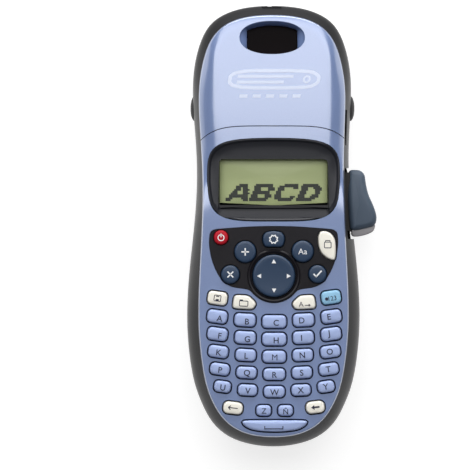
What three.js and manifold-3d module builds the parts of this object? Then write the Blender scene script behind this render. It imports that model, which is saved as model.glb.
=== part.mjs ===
// Handheld electronic label maker. Millimetres, +Z up.
// It lies on its back: +X is the lever side, +Y the end where the label comes out, +Z out of the keypad.
// The origin is the middle of the flat back face.
import * as THREE from "three";
import { mergeVertices } from "three/addons/utils/BufferGeometryUtils.js";
import Module from "manifold-3d";

const wasm = await Module();
wasm.setup();

// ---- driving dimensions
const LENGTH = 200; // end to end
const WIDTH = 78.4; // across the widest part of the body
const FACE_Z = 46; // height of the keypad plane above the back
const RIM_Z = 38.5; // parting plane between the two housings
const BULGE_Z = 24; // height at which the body is widest
const BACK_ROUND = 13; // rounding of the body towards the flat back
const WALL = 2.2; // housing wall
const SAG = 8.5; // how far the front falls away at the label end
const GAP = 0.3; // between pieces that meet
const KEY_GAP = 0.45; // round every key
const FLANGE = 0.2; // how far the flange of a key reaches past its hole
const KEY_RISE = 1.3; // key tops above the face
const KEY_TRAVEL = 1.2;
const KEY_W = 9.1; // letter key at the end of a row
const KEY_H = 5.9;
const ROW_PITCH = 7.9;
const COL_PITCH = 13.2;
const CELL_D = 14.5; // AA cell
const CELL_L = 50.5;
const TAPE_W = 12; // label tape
const GEAR_MODULE = 1;
const PINION_TEETH = 9;
const PLATEN_TEETH = 22;
const PLATEN_R = 4;
const PIVOT = [28.4, 58]; // cutter lever pin
const SEAM_Y = 45.2; // lid seam on the centre line

const KX = WIDTH / 78.4;
const KY = LENGTH / 200;

// Outline stations from the lower end to the upper end: outer half width and Y, face half width and Y.
const STATIONS = [
  [0, -100, 0, -95.4],
  [9.5, -99.1, 7.8, -94.9],
  [17.9, -96.6, 14.8, -92.9],
  [24, -92.8, 20.2, -89.6],
  [29, -87.2, 24.4, -85.1],
  [33.2, -78.5, 28.4, -78],
  [36.4, -69, 31.4, -68.5],
  [38.6, -54, 33.5, -53],
  [39.2, -38.5, 34.1, -38.5],
  [38.2, -21, 33.5, -21],
  [36.2, -3, 32.5, -3],
  [34.5, 18, 31.9, 18],
  [34.5, 36, 32.2, 36],
  [35.9, 56, 33.3, 57],
  [35.6, 70, 32, 70],
  [33.4, 80.6, 29.6, 80.4],
  [30.1, 88.7, 26, 86.9],
  [24.6, 94.6, 20.4, 91.8],
  [14, 98.9, 11.5, 94.9],
  [0, 100, 0, 95.7],
];

const smoothstep = (a, b, x) => {
  const t = Math.min(1, Math.max(0, (x - a) / (b - a)));
  return t * t * (3 - 2 * t);
};
const sag = (y) => SAG * (Math.max(0, y) / (96 * KY)) ** 2;

// ---- booleans
const toManifold = (geometry) => {
  const g = geometry.clone();
  g.deleteAttribute("normal");
  g.deleteAttribute("uv");
  const m = mergeVertices(g, 1e-4);
  const index = m.index.array;
  return new wasm.Manifold(
    new wasm.Mesh({
      numProp: 3,
      vertProperties: new Float32Array(m.attributes.position.array),
      triVerts: new Uint32Array(index),
    }),
  );
};
const toGeometry = (manifold) => {
  const mesh = manifold.getMesh();
  const g = new THREE.BufferGeometry();
  g.setAttribute("position", new THREE.BufferAttribute(new Float32Array(mesh.vertProperties), 3));
  g.setIndex(new THREE.BufferAttribute(new Uint32Array(mesh.triVerts), 1));
  const flat = g.toNonIndexed();
  flat.computeVertexNormals();
  return flat;
};
const cut = (a, ...tools) => tools.reduce((solid, tool) => solid.subtract(tool), a);
const join = (a, ...others) => others.reduce((solid, other) => solid.add(other), a);

// ---- solids from stacked rings
// Every ring holds N points counter-clockwise, first the lower middle, and the ends close in strips.
const ringSolid = (rings) => {
  const n = rings[0].length;
  const pos = [];
  const index = [];
  rings.forEach((ring) => ring.forEach((p) => pos.push(...p)));
  for (let k = 0; k + 1 < rings.length; k += 1) {
    for (let i = 0; i < n; i += 1) {
      const j = (i + 1) % n;
      const a = k * n + i;
      const b = k * n + j;
      index.push(a, b, b + n, a, b + n, a + n);
    }
  }
  const strip = (base, up) => {
    for (let i = 0; i < n / 2 - 1; i += 1) {
      const quad = [i, i + 1, n - i - 1, (n - i) % n].map((v) => base + v);
      const faces = [
        [quad[0], quad[1], quad[2]],
        [quad[0], quad[2], quad[3]],
      ];
      faces.forEach((f) => {
        if (new Set(f).size === 3) {
          index.push(...(up ? f : [f[0], f[2], f[1]]));
        }
      });
    }
    const m = n / 2;
    const last = [base + m - 1, base + m, base + m + 1];
    index.push(...(up ? last : [last[0], last[2], last[1]]));
  };
  strip(0, false);
  strip((rings.length - 1) * n, true);
  const g = new THREE.BufferGeometry();
  g.setAttribute("position", new THREE.BufferAttribute(new Float32Array(pos), 3));
  g.setIndex(dropSlivers(index, pos));
  return g;
};
const dropSlivers = (index, pos) => {
  const keep = [];
  for (let i = 0; i < index.length; i += 3) {
    const key = (v) => [0, 1, 2].map((c) => pos[3 * v + c].toFixed(5)).join();
    const three = [key(index[i]), key(index[i + 1]), key(index[i + 2])];
    if (new Set(three).size === 3) {
      keep.push(index[i], index[i + 1], index[i + 2]);
    }
  }
  return keep;
};

// ---- body outlines
const RING_POINTS = 56;
const splineOf = (column) => {
  const right = STATIONS.map((s) => new THREE.Vector3(s[column] * KX, s[column + 1] * KY, 0));
  const left = right.slice(1, -1).reverse();
  const all = right.concat(left.map((p) => new THREE.Vector3(-p.x, p.y, 0)));
  return new THREE.CatmullRomCurve3(all, true, "centripetal");
};
const sampleOutline = (column) => {
  const curve = splineOf(column);
  const half = RING_POINTS / 2;
  const right = [];
  const dense = curve.getPoints(1520);
  const side = dense.slice(0, 761);
  const run = [0];
  for (let i = 1; i < side.length; i += 1) {
    const tight = 1 + 1.6 * smoothstep(80 * KY, 92 * KY, Math.abs(side[i].y));
    run.push(run[i - 1] + side[i].distanceTo(side[i - 1]) * tight);
  }
  const total = run[run.length - 1];
  for (let k = 0; k <= half; k += 1) {
    let i = 0;
    while (i < side.length - 1 && run[i] < (total * k) / half - 1e-9) {
      i += 1;
    }
    right.push([side[i].x, side[i].y]);
  }
  right[0][0] = 0;
  right[half][0] = 0;
  const left = right.slice(1, -1).reverse();
  return right.concat(left.map(([x, y]) => [-x, y]));
};
const OUTER = sampleOutline(0);
const FACE = sampleOutline(2);
const inset = (outline, d) => {
  const n = outline.length;
  return outline.map(([x, y], i) => {
    const a = outline[(i + n - 1) % n];
    const b = outline[(i + 1) % n];
    const tx = b[0] - a[0];
    const ty = b[1] - a[1];
    const l = Math.hypot(tx, ty);
    const px = x - (d * ty) / l;
    const keepSide = i === 0 || i === n / 2 ? 0 : px;
    return [keepSide, y + (d * tx) / l];
  });
};
const blend = (a, b, t) => a.map((p, i) => [p[0] + (b[i][0] - p[0]) * t, p[1] + (b[i][1] - p[1]) * t]);

// Rear body: rounded up from the back to the widest height, then leaning in to the edge of the face.
const bodyRing = (z, less) => {
  if (z <= BULGE_Z) {
    const t = (BULGE_Z - z) / BULGE_Z;
    const d = BACK_ROUND * (1 - Math.sqrt(Math.max(0, 1 - t * t)));
    return inset(OUTER, d + less);
  }
  const s = Math.min(1, (z - BULGE_Z) / (RIM_Z - BULGE_Z));
  return inset(blend(OUTER, FACE, 1 - Math.cos((Math.PI / 2) * s)), less);
};
const rearSolid = (less, zLow, zHigh, steps) => {
  const levels = steps.filter((z) => z > zLow + 0.2 && z < zHigh - 0.2);
  const zs = [zLow, ...levels, zHigh];
  const rings = zs.map((z) => {
    const part = Math.min(1, Math.max(0, (z - BULGE_Z) / (RIM_Z - BULGE_Z)));
    return bodyRing(z, less).map(([x, y]) => [x, y, z - sag(y) * part]);
  });
  return toManifold(ringSolid(rings));
};
// Front dome: the blue face with its rounded edge, sagging towards the label end.
const DOME = [
  [0, 0],
  [0.1, 2.6],
  [0.5, 4.9],
  [1.3, 6.4],
  [2.8, 7.2],
];
const SIDE_WALL = 1.5;
const sagged = (d, z) => inset(FACE, d).map(([x, y]) => [x, y, z - sag(y)]);
const domeSolid = () => {
  const scale = (FACE_Z - RIM_Z - GAP) / 7.2;
  return toManifold(ringSolid(DOME.map(([d, rise]) => sagged(d, RIM_Z + GAP + rise * scale))));
};
const domeHollowSolid = (thick) =>
  toManifold(
    ringSolid([
      sagged(SIDE_WALL, RIM_Z - 8),
      sagged(SIDE_WALL, FACE_Z - 5),
      sagged(SIDE_WALL + 0.3, FACE_Z - thick),
    ]),
  );

// ---- small helpers
const prism = (points, z0, z1) => {
  const shape = new THREE.Shape(points.map(([x, y]) => new THREE.Vector2(x, y)));
  const g = new THREE.ExtrudeGeometry(shape, { depth: z1 - z0, bevelEnabled: false });
  g.translate(0, 0, z0);
  return toManifold(g);
};
const block = (x0, x1, y0, y1, z0, z1) =>
  prism(
    [
      [x0, y0],
      [x1, y0],
      [x1, y1],
      [x0, y1],
    ],
    z0,
    z1,
  );
const circle = (x, y, r, n = 24) =>
  Array.from({ length: n }, (_, i) => {
    const a = (2 * Math.PI * i) / n;
    return [x + r * Math.cos(a), y + r * Math.sin(a)];
  });
const rod = (x, y, r, z0, z1, n = 24) => prism(circle(x, y, r, n), z0, z1);
const lathe = (profile, n = 24) => {
  const g = new THREE.LatheGeometry(
    profile.map(([r, z]) => new THREE.Vector2(r, z)),
    n,
  );
  g.rotateX(Math.PI / 2);
  return g;
};
const roundedBox = (w, h, r, steps = 3) => {
  const pts = [];
  [
    [1, -1, -90],
    [1, 1, 0],
    [-1, 1, 90],
    [-1, -1, 180],
  ].forEach(([sx, sy, start]) => {
    for (let k = 0; k <= steps; k += 1) {
      const a = ((start + (90 * k) / steps) * Math.PI) / 180;
      pts.push([sx * (w / 2 - r) + r * Math.cos(a), sy * (h / 2 - r) + r * Math.sin(a)]);
    }
  });
  return pts;
};
const place = (points, x, y, turn = 0) => {
  const c = Math.cos((turn * Math.PI) / 180);
  const s = Math.sin((turn * Math.PI) / 180);
  return points.map(([px, py]) => [x + px * c - py * s, y + px * s + py * c]);
};
// Push a convex outline outwards along its own normals.
const grow = (points, d) => {
  const n = points.length;
  return points.map(([x, y], i) => {
    const a = points[(i + n - 1) % n];
    const b = points[(i + 1) % n];
    const e1 = [x - a[0], y - a[1]];
    const e2 = [b[0] - x, b[1] - y];
    const l1 = Math.hypot(...e1);
    const l2 = Math.hypot(...e2);
    const n1 = [e1[1] / l1, -e1[0] / l1];
    const n2 = [e2[1] / l2, -e2[0] / l2];
    const k = d / (1 + n1[0] * n2[0] + n1[1] * n2[1]);
    return [x + (n1[0] + n2[0]) * k, y + (n1[1] + n2[1]) * k];
  });
};
const fan = (rings) => {
  const n = rings[0].length;
  const pos = rings.flat();
  const index = [];
  for (let k = 0; k + 1 < rings.length; k += 1) {
    for (let i = 0; i < n; i += 1) {
      const j = (i + 1) % n;
      index.push(k * n + i, k * n + j, (k + 1) * n + j, k * n + i, (k + 1) * n + j, (k + 1) * n + i);
    }
  }
  const last = (rings.length - 1) * n;
  for (let i = 1; i + 1 < n; i += 1) {
    index.push(0, i + 1, i, last, last + i, last + i + 1);
  }
  const g = new THREE.BufferGeometry();
  g.setAttribute("position", new THREE.BufferAttribute(new Float32Array(pos.flat()), 3));
  g.setIndex(index);
  return g;
};

const group = new THREE.Group();
const add = (name, solid, colour, roughness, metalness = 0) => {
  const geometry = solid.isBufferGeometry ? solid : toGeometry(solid);
  const material = new THREE.MeshStandardMaterial({ color: colour, roughness, metalness });
  const mesh = new THREE.Mesh(geometry, material);
  mesh.name = name;
  group.add(mesh);
};

// ---- key layout: every key has an outline in the keypad plane
const keys = [];
const addKey = (name, outline, colour, rise = KEY_RISE, flange = FLANGE) =>
  keys.push({ name, outline, colour, rise, flange });
const LETTERS = ["abcde", "fghij", "klmno", "pqrst", "uvwxy"];
const FIRST_ROW_Y = -43.05 * KY;
const COLOURS = { key: 0x9fabcf, white: 0xe8e4d8, navy: 0x2b4260, cyan: 0xa4dcec, red: 0xc02a36 };
// per row: extra width of the middle, next and outer keys, column centres, and how much lower the keys are
const EXTRA_W = [
  [1.8, 0.5, 0],
  [1.8, 0.4, 0],
  [1.5, 0.1, -0.1],
  [0.8, 0, -0.3],
  [0.4, -0.4, -1.5],
];
const COLUMNS = [
  [COL_PITCH, COL_PITCH + 12.5],
  [COL_PITCH - 0.1, COL_PITCH + 12.4],
  [COL_PITCH - 0.35, COL_PITCH + 12.05],
  [COL_PITCH - 0.7, COL_PITCH + 11.35],
  [COL_PITCH - 1.15, COL_PITCH + 10.15],
];
const LESS_H = [0, 0.1, 0.4, 0.55, 0.7];
LETTERS.forEach((row, r) => {
  [...row].forEach((letter, c) => {
    const side = c - 2;
    const reach = Math.abs(side);
    const w = KEY_W + EXTRA_W[r][reach];
    const x = 0.3 + Math.sign(side) * (reach && COLUMNS[r][reach - 1] * KX);
    const y = FIRST_ROW_Y - r * ROW_PITCH * KY + [0, 0.75, 2.3][reach];
    const turn = Math.sign(side) * [0, 3, 8][reach];
    addKey(`key_${letter}`, place(roundedBox(w, KEY_H - LESS_H[r], 1.9, 2), x, y, turn), COLOURS.key);
  });
});
const lastRow = FIRST_ROW_Y - 5.07 * ROW_PITCH * KY;
const small = roundedBox(6.7, 4.9, 1.8, 2);
addKey("key_z", place(small, -4.45, lastRow, 0), COLOURS.key, KEY_RISE, FLANGE / 4);
addKey("key_n_tilde", place(small, 5.35, lastRow, 0), COLOURS.key, KEY_RISE, FLANGE / 4);
addKey("key_clear", place(roundedBox(8.8, 5.5, 2.4, 2), -18.3, lastRow + 1.15, -7), COLOURS.white);
addKey("key_backspace", place(roundedBox(8.4, 5.5, 2.5, 2), 18.8, lastRow + 1.45, 7), COLOURS.white);
const topRow = FIRST_ROW_Y + 8.75 * KY;
addKey("key_save", place(roundedBox(8.8, 6, 1.9, 2), -25.3, topRow + 1.85, -8), COLOURS.white);
const leaf = [
  [-4.7, -3.1],
  [3.2, -3.1],
  [4.4, -2.4],
  [5.2, -0.8],
  [4.7, 0.5],
  [2.2, 2.6],
  [0.9, 3.1],
  [-3.9, 3.1],
  [-4.9, 2.2],
  [-5.3, -1.9],
];
addKey("key_open", place(leaf, -13.1, topRow, -3), COLOURS.white);
const leafMirror = leaf.map(([x, y]) => [-x, y]).reverse();
addKey("key_caps", place(leafMirror, 13.6, topRow, 3), COLOURS.white);
addKey("key_number", place(roundedBox(8.8, 6, 1.9, 2), 25.9, topRow + 2.2, 8), COLOURS.cyan);
const spaceY = FIRST_ROW_Y - 47.2 * KY;
const space = [
  [-11.2, -1.3],
  [-6.5, -2.2],
  [0, -2.5],
  [6.5, -2.2],
  [11.2, -1.3],
  [14, 0.4],
  [14.9, 1.9],
  [14.1, 2.8],
  [-14.1, 2.8],
  [-14.9, 1.9],
  [-14, 0.4],
];
addKey("key_space", place(space, 0.5, spaceY, 0), COLOURS.key, KEY_RISE, FLANGE / 4);
// function keys stand on the black inlay
const NAV = [0.1, -22.4 * KY];
const NAV_R = 9.6;
addKey("key_power", circle(-23.7, -5.1 * KY, 3.3, 16), COLOURS.red, 1.7);
addKey("key_insert", circle(-12.8, -11.6 * KY, 4.7, 18), COLOURS.navy, 1.7);
addKey("key_format", circle(13.1, -11.4 * KY, 4.7, 18), COLOURS.navy, 1.7);
addKey("key_cancel", circle(-19.5, -21.8 * KY, 4.2, 18), COLOURS.navy, 1.7);
addKey("key_ok", circle(19.8, -21.6 * KY, 4.1, 18), COLOURS.navy, 1.7);
addKey("key_arrows", circle(NAV[0], NAV[1], NAV_R, 28), COLOURS.navy, 2.1);
const settings = [
  [-2.6, -3.9],
  [0, -3.5],
  [2.6, -3.9],
  [4.2, -3.2],
  [5.1, -0.4],
  [4.9, 1.6],
  [3.6, 3.2],
  [0, 3.9],
  [-3.6, 3.2],
  [-4.9, 1.6],
  [-5.1, -0.4],
  [-4.2, -3.2],
];
const settingsKey = settings.map(([x, y]) => [x, Math.abs(x) < 3 && y < 0 ? -3.6 : y]);
addKey("key_settings", place(settingsKey, 0, -5.9 * KY, 0), COLOURS.navy, 1.7);
const print = [
  [-3.6, 3.8],
  [-3.3, -0.3],
  [-2.2, -3.4],
  [0.3, -5.6],
  [3, -6.8],
  [4.2, -6.2],
  [4.5, -2],
  [4.2, 2.6],
  [2.6, 5.2],
  [0.2, 6.5],
  [-2.6, 6.4],
];
addKey("key_print", place(print, 23.6, -8.7 * KY, 0), COLOURS.white, 1.7, 0.6);

// ---- seam between the lid and the front housing
const seamAt = (x) => (SEAM_Y - 6.5 * Math.min(1.08, Math.abs(x) / (33 * KX)) ** 5) * KY;
const seamPiece = (shift, above) => {
  const pts = [];
  for (let k = 0; k <= 40; k += 1) {
    const x = -50 + 2.5 * k;
    pts.push([x, seamAt(x) + shift]);
  }
  const far = above ? 130 : -130;
  const closing = [
    [50, far],
    [-50, far],
  ];
  const outline = above ? pts.concat(closing) : pts.concat(closing).reverse();
  return prism(outline, 10, 60);
};

// ---- recess and opening in the lid
const RECESS = [-0.6, 85.1 * KY];
const ellipse = (x, y, a, b, n) =>
  Array.from({ length: n }, (_, i) => {
    const t = (2 * Math.PI * i) / n;
    const c = Math.cos(t);
    const s = Math.sin(t);
    const bulge = 0.86;
    const r = (Math.abs(c) ** (2 / bulge) + Math.abs(s) ** (2 / bulge)) ** (-bulge / 2);
    return [x + a * r * c, y + b * r * s];
  });
const recessOutline = (extra) => ellipse(0, 0, 14.6 + extra, 7.4 + extra, 36);
const tilt = Math.atan((2 * SAG * 85) / 96 ** 2);
const onLid = (points, z0, z1) => {
  const shape = new THREE.Shape(points.map(([x, y]) => new THREE.Vector2(x, y)));
  const g = new THREE.ExtrudeGeometry(shape, { depth: z1 - z0, bevelEnabled: false });
  g.translate(0, 0, z0);
  g.rotateX(-tilt);
  g.translate(RECESS[0], RECESS[1], FACE_Z - sag(RECESS[1]));
  return toManifold(g);
};

// ---- front housing and lid
const panel = [];
[
  [-28.2, -2.6],
  [-20, -0.9],
  [-10, -0.2],
  [0, 0],
  [10, -0.2],
  [20, -0.9],
  [28.8, -1.4],
  [29.3, -8],
  [28, -15],
  [25.6, -21],
  [22.4, -25.6],
  [18.4, -27.6],
  [11.4, -28.3],
].forEach(([x, y]) => panel.push([x, y * KY]));
for (let k = 1; k < 9; k += 1) {
  const a = ((-33 - (114 * k) / 9) * Math.PI) / 180;
  panel.push([NAV[0] + 12.3 * Math.cos(a), NAV[1] + 12.3 * Math.sin(a)]);
}
[
  [-11.4, -28.3],
  [-18.4, -27.6],
  [-22.4, -25.6],
  [-25.6, -21],
  [-27.6, -15],
  [-28.5, -8],
].forEach(([x, y]) => panel.push([x, y * KY]));
panel.reverse();
const BEZEL = { x: 0, y: 20.4 * KY, a: 30.1, b: 18.2 };
const bezelOutline = (extra, n = 32) =>
  Array.from({ length: n }, (_, i) => {
    const t = (2 * Math.PI * i) / n;
    const c = Math.cos(t);
    const s = Math.sin(t);
    const r = (Math.abs(c) ** 5 + Math.abs(s) ** 5) ** -0.2;
    const squeeze = 1 - 0.035 * Math.max(0, -s * r);
    return [BEZEL.x + (BEZEL.a + extra) * r * c * squeeze, BEZEL.y + (BEZEL.b + extra) * r * s];
  });
const WINDOW = { x: 0, y: 19.7 * KY, w: 48.4, h: 20.6 };
const windowBox = (w, h) => place(roundedBox(w, h, 1.2, 2), WINDOW.x, WINDOW.y);

const dome = domeSolid();
const shell = dome.subtract(domeHollowSolid(WALL));
const panelRecess = 0.8;
let front = shell.intersect(seamPiece(-0.2, false));
front = cut(
  front,
  prism(grow(panel, GAP), FACE_Z - panelRecess - 0.2, FACE_Z + 5),
  prism(bezelOutline(GAP), FACE_Z - 6, FACE_Z + 5),
);
keys.forEach(({ outline }) => {
  front = front.subtract(prism(grow(outline, KEY_GAP), FACE_Z - 6, FACE_Z + 5));
});
add("front_housing", front, 0x7684ac, 0.42);

let door = dome.subtract(domeHollowSolid(2)).intersect(seamPiece(0.2, true));
const cup = onLid(recessOutline(1.9), -7.6, -1.2);
door = join(door, cup.intersect(dome));
door = cut(door, onLid(recessOutline(0), -5.6, 6));
const opening = place(roundedBox(22.8, 13.2, 1.4, 2), 0, 0);
door = cut(door, onLid(opening, -12, 2));
add("tape_door", door, 0x8f9cc6, 0.32);

// ---- control inlay, bezel, window and display module
let inlay = prism(panel, FACE_Z - panelRecess, FACE_Z);
const ringWall = rod(NAV[0], NAV[1], 12, FACE_Z - panelRecess, FACE_Z + 0.7, 28);
inlay = inlay.add(ringWall);
keys
  .filter(({ rise }) => rise > KEY_RISE)
  .forEach(({ outline }) => {
    inlay = inlay.subtract(prism(grow(outline, KEY_GAP - 0.1), FACE_Z - 3, FACE_Z + 4));
  });
add("control_panel", inlay, 0x232126, 0.35);

const bezelRing = (extra, z) => bezelOutline(extra).map(([x, y]) => [x, y, z - sag(y)]);
let bezel = toManifold(
  fan([
    bezelRing(0, FACE_Z - 4.6),
    bezelRing(0, FACE_Z - 0.4),
    bezelRing(-1.3, FACE_Z - 0.5),
    bezelRing(-3, FACE_Z - 1.5),
  ]),
);
const bezelCut = (w, h, dy, z0, z1) =>
  prism(place(roundedBox(w, h, 1.2, 2), WINDOW.x, WINDOW.y + dy), z0, z1);
const slope = new THREE.BufferGeometry().copy(
  fan([
    place(roundedBox(WINDOW.w, WINDOW.h, 1.2, 2), WINDOW.x, WINDOW.y).map((p) => [...p, FACE_Z - 3.4]),
    place(roundedBox(WINDOW.w + 1.6, WINDOW.h + 5.2, 1.6, 2), WINDOW.x, WINDOW.y - 1.6).map((p) => [
      ...p,
      FACE_Z - 0.6,
    ]),
  ]),
);
bezel = cut(
  bezel,
  toManifold(slope),
  bezelCut(WINDOW.w, WINDOW.h, 0, FACE_Z - 6, FACE_Z),
  bezelCut(WINDOW.w + 3, WINDOW.h + 3, 0, FACE_Z - 6, FACE_Z - 3.4),
);
add("display_bezel", bezel, 0x3c3c41, 0.45);
add("display_window", prism(windowBox(WINDOW.w + 2.4, WINDOW.h + 2.4), FACE_Z - 4.9, FACE_Z - 3.7), 0xb9c6a0, 0.1);
add("lcd_module", prism(windowBox(WINDOW.w + 3, WINDOW.h + 5), FACE_Z - 7.5, FACE_Z - 6.1), 0xa3b07d, 0.5);

// ---- keys: flange under the face, straight stem, chamfered cap with a slight crown
keys.forEach(({ name, outline, colour, rise, flange }) => {
  const ring = (d, z) => grow(outline, d).map(([x, y]) => [x, y, z]);
  const top = FACE_Z + rise;
  const under = FACE_Z - WALL - GAP;
  const cap = toManifold(
    fan([
      ring(KEY_GAP + flange, under - 1),
      ring(KEY_GAP + flange, under - 0.02),
      ring(0, under),
      ring(0, top - 0.55),
      ring(-0.55, top),
    ]),
  );
  add(name, cap, colour, 0.45);
});

// ---- rear housing
const rearLevels = [0.9, 3.2, 7, 12.5, BULGE_Z, 31, 35.5];
const rearOuter = rearSolid(0, 0, RIM_Z, rearLevels);
const rearHollow = rearSolid(WALL, WALL, RIM_Z + 3, [3.4, 7.2, 12.5, BULGE_Z, RIM_Z - 1.5]);
const tray = rearOuter.subtract(rearHollow);
const DOOR_HALF = 25.5;
const DOOR_TOP = -20 * KY;
const doorBox = (less, z0, z1) =>
  block(-DOOR_HALF + less, DOOR_HALF - less, -130, DOOR_TOP - less, z0, z1);
const BATTERY_Z = 5.2;
const leverPocket = block(26 * KX, 60 * KX, -6.4, 27.6 * Math.max(1, KY), 13.6, 36.2);
const EXIT_X = -1.75;
const exitSlot = block(EXIT_X - 1, EXIT_X + 1, 80, 110, 13, 13 + TAPE_W + 1);
let rear = cut(tray, doorBox(0, -1, BATTERY_Z), leverPocket);
const bay = block(-27, 24, SEAM_Y - 1.6, SEAM_Y, WALL - 0.4, 30);
const cellWall = block(-33, 33, DOOR_TOP + 0.2, DOOR_TOP + 1.8, WALL - 0.4, 19);
const post = (x, y) => rod(x, y, 2.6, WALL - 0.4, 34, 16);
const ledge = block(-25, -18.6, 50 * KY, 82 * KY, WALL - 0.4, 10.6);
const pin = rod(PIVOT[0] * KX, PIVOT[1] * KY, 1.8, WALL - 0.4, 33, 18);
const posts = [post(-24, 36 * KY), post(24, -14 * KY), post(-24, -14 * KY)];
rear = join(rear, ...[bay, cellWall, ledge, pin, ...posts].map((s) => s.intersect(rearOuter)));
rear = cut(rear, exitSlot);
add("rear_housing", rear, 0x4a4c56, 0.55);

// ---- battery door: the part of the shell over the cells, sliding off the lower end
const doorShell = tray.intersect(doorBox(GAP, GAP, BATTERY_Z - GAP));
add("battery_door", doorShell, 0x42444d, 0.55);

// ---- four cells side by side, held as one pack
const cellY0 = -73.9 * KY;
const cellAt = (x) => {
  const r = CELL_D / 2;
  const g = lathe(
    [
      [0, 0],
      [r + 0.01, 0],
      [r + 0.01, CELL_L - 1.5],
      [r - 0.6, CELL_L - 1.1],
      [2.7, CELL_L - 1.1],
      [2.7, CELL_L],
      [0, CELL_L],
    ],
    20,
  );
  g.rotateX(-Math.PI / 2);
  g.translate(x, cellY0, WALL + GAP + 0.4 + r);
  return toManifold(g);
};
const cells = [-1.5, -0.5, 0.5, 1.5].map((k) => cellAt(k * (CELL_D - 0.1)));
add("battery_cells", join(...cells), 0x54565c, 0.4, 0.5);

// ---- main board under the keys and the display
const KEY_MAT = 3.1; // rubber mat with its domes, between the board and the keys
const BOARD_T = 1.6;
const BOARD_Z = FACE_Z - WALL - GAP - 1 - KEY_TRAVEL - KEY_MAT - BOARD_T;
const boardOutline = [
  [-21, -79],
  [21, -79],
  [27.5, -66],
  [28.2, 33],
  [-28.2, 33],
  [-27.5, -66],
].map(([x, y]) => [x, y * KY]);
add("main_board", prism(boardOutline, BOARD_Z, BOARD_Z + BOARD_T), 0x2f6b45, 0.5);

// ---- cutter lever: handle outside, arm up to the blade inside, turning on its pin
const handle = [
  [33.1, 25.2],
  [34, 12],
  [35.2, 2],
  [35.6, -4.6],
  [39, -5],
  [42, -3.9],
  [45.4, -1],
  [46.4, 2.6],
  [46.4, 5.1],
  [45, 9.6],
  [42.9, 14.1],
  [41.8, 18.6],
  [40.5, 23.2],
  [38.5, 25.4],
  [36, 25.8],
].map(([x, y]) => [x + 39.2 * (KX - 1), y]);
const arm = [
  [30.9, 6],
  [35.4, 2],
  [34.4, 22],
  [30.4, 27.2],
  [30.6, 48],
  [31.4, 54],
  [31.2, 61],
  [27.6, 70],
  [22.4, 82],
  [20.6, 86],
  [19.4, 86.9],
  [15.4, 87.2],
  [16, 81],
  [24, 68],
  [25.2, 58],
  [27.2, 50],
  [27.4, 24],
].map(([x, y]) => [x * KX, y * KY]);
const leverHandle = toManifold(
  fan([
    grow(handle, -1.6).map(([x, y]) => [x, y, 14.6]),
    grow(handle, -0.4).map(([x, y]) => [x, y, 15.4]),
    handle.map(([x, y]) => [x, y, 17.6]),
    handle.map(([x, y]) => [x, y, 32.2]),
    grow(handle, -0.4).map(([x, y]) => [x, y, 34.4]),
    grow(handle, -1.6).map(([x, y]) => [x, y, 35.3]),
  ]),
);
let lever = leverHandle.add(prism(arm, 26.4, 30.2));
const PEG = [18.2 * KX, 84.8 * KY];
lever = cut(
  lever,
  rod(PIVOT[0] * KX, PIVOT[1] * KY, 1.8 + GAP, 20, 40, 18),
  block(PEG[0] - 1.2, PEG[0] + 1.2, PEG[1] - 2.4, PEG[1] + 1.2, 20, 40),
);
add("cutter_lever", lever, 0x46556a, 0.6);

// ---- cutter blade: a bar across the head end with an upright blade beside the tape
const BLADE_Y = 87.4 * KY;
const bar = block(-5.6, PEG[0] + 0.8, BLADE_Y, BLADE_Y + 1.2, 7.4, 11);
const upright = block(-5.6, -3.4, BLADE_Y, BLADE_Y + 1.2, 7.4, 27);
const lug = block(PEG[0] - 0.8, PEG[0] + 0.8, PEG[1] - 0.8, BLADE_Y + 1.2, 7.4, 11);
const riser = block(PEG[0] - 0.8, PEG[0] + 0.8, PEG[1] - 0.8, PEG[1] + 0.8, 7.4, 30);
add("cutter_blade", join(bar, upright, lug, riser), 0xb6b9be, 0.3, 0.9);

// ---- print unit: head, platen with its gear, motor and pinion
const PLATEN = [EXIT_X - PLATEN_R - 0.25, 77.6 * KY];
const gearOutline = (x, y, teeth, phase) => {
  const pts = [];
  const r = (GEAR_MODULE * teeth) / 2;
  for (let k = 0; k < teeth; k += 1) {
    [
      [-0.27, -1.15],
      [-0.14, 0.75],
      [0.14, 0.75],
      [0.27, -1.15],
    ].forEach(([at, out]) => {
      const a = (2 * Math.PI * (k + at + phase)) / teeth;
      pts.push([x + (r + out) * Math.cos(a), y + (r + out) * Math.sin(a)]);
    });
  }
  return pts;
};
const centres = (GEAR_MODULE * (PINION_TEETH + PLATEN_TEETH)) / 2 + 0.3;
const drop = (-14 * Math.PI) / 180;
const MOTOR = [PLATEN[0] + centres * Math.cos(drop), PLATEN[1] + centres * Math.sin(drop)];
const meshPhase = (drop / (2 * Math.PI)) * PLATEN_TEETH;
const motorPhase = ((drop + Math.PI) / (2 * Math.PI)) * PINION_TEETH + 0.5;
const gear = prism(gearOutline(PLATEN[0], PLATEN[1], PLATEN_TEETH, meshPhase), 3.2, 6.2);
const axle = rod(PLATEN[0], PLATEN[1], 1.4, 3.2, 28.6, 16);
const roller = rod(PLATEN[0], PLATEN[1], PLATEN_R, 12.4, 12.4 + TAPE_W + 1.6, 28);
add("platen_roller", join(gear, axle, roller), 0x2a2a2d, 0.7);
const pinion = prism(gearOutline(MOTOR[0], MOTOR[1], PINION_TEETH, motorPhase), 3, 6.6);
add("motor_pinion", pinion, 0xd8d2bd, 0.5);
const can = rod(MOTOR[0], MOTOR[1], 6.3, 7.2, 24, 24);
add("drive_motor", can, 0xa9acb1, 0.35, 0.8);
const headFace = block(EXIT_X + 0.35, EXIT_X + 2.2, 73.8 * KY, 82.6 * KY, WALL + 0.1 + 4.8, 28.4);
const headArm = block(EXIT_X + 1.2, EXIT_X + 9, 81.4 * KY, 83.2 * KY, WALL + 0.1 + 4.8, 28.4);
add("print_head", join(headFace, headArm), 0x8d9096, 0.4, 0.6);

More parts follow.
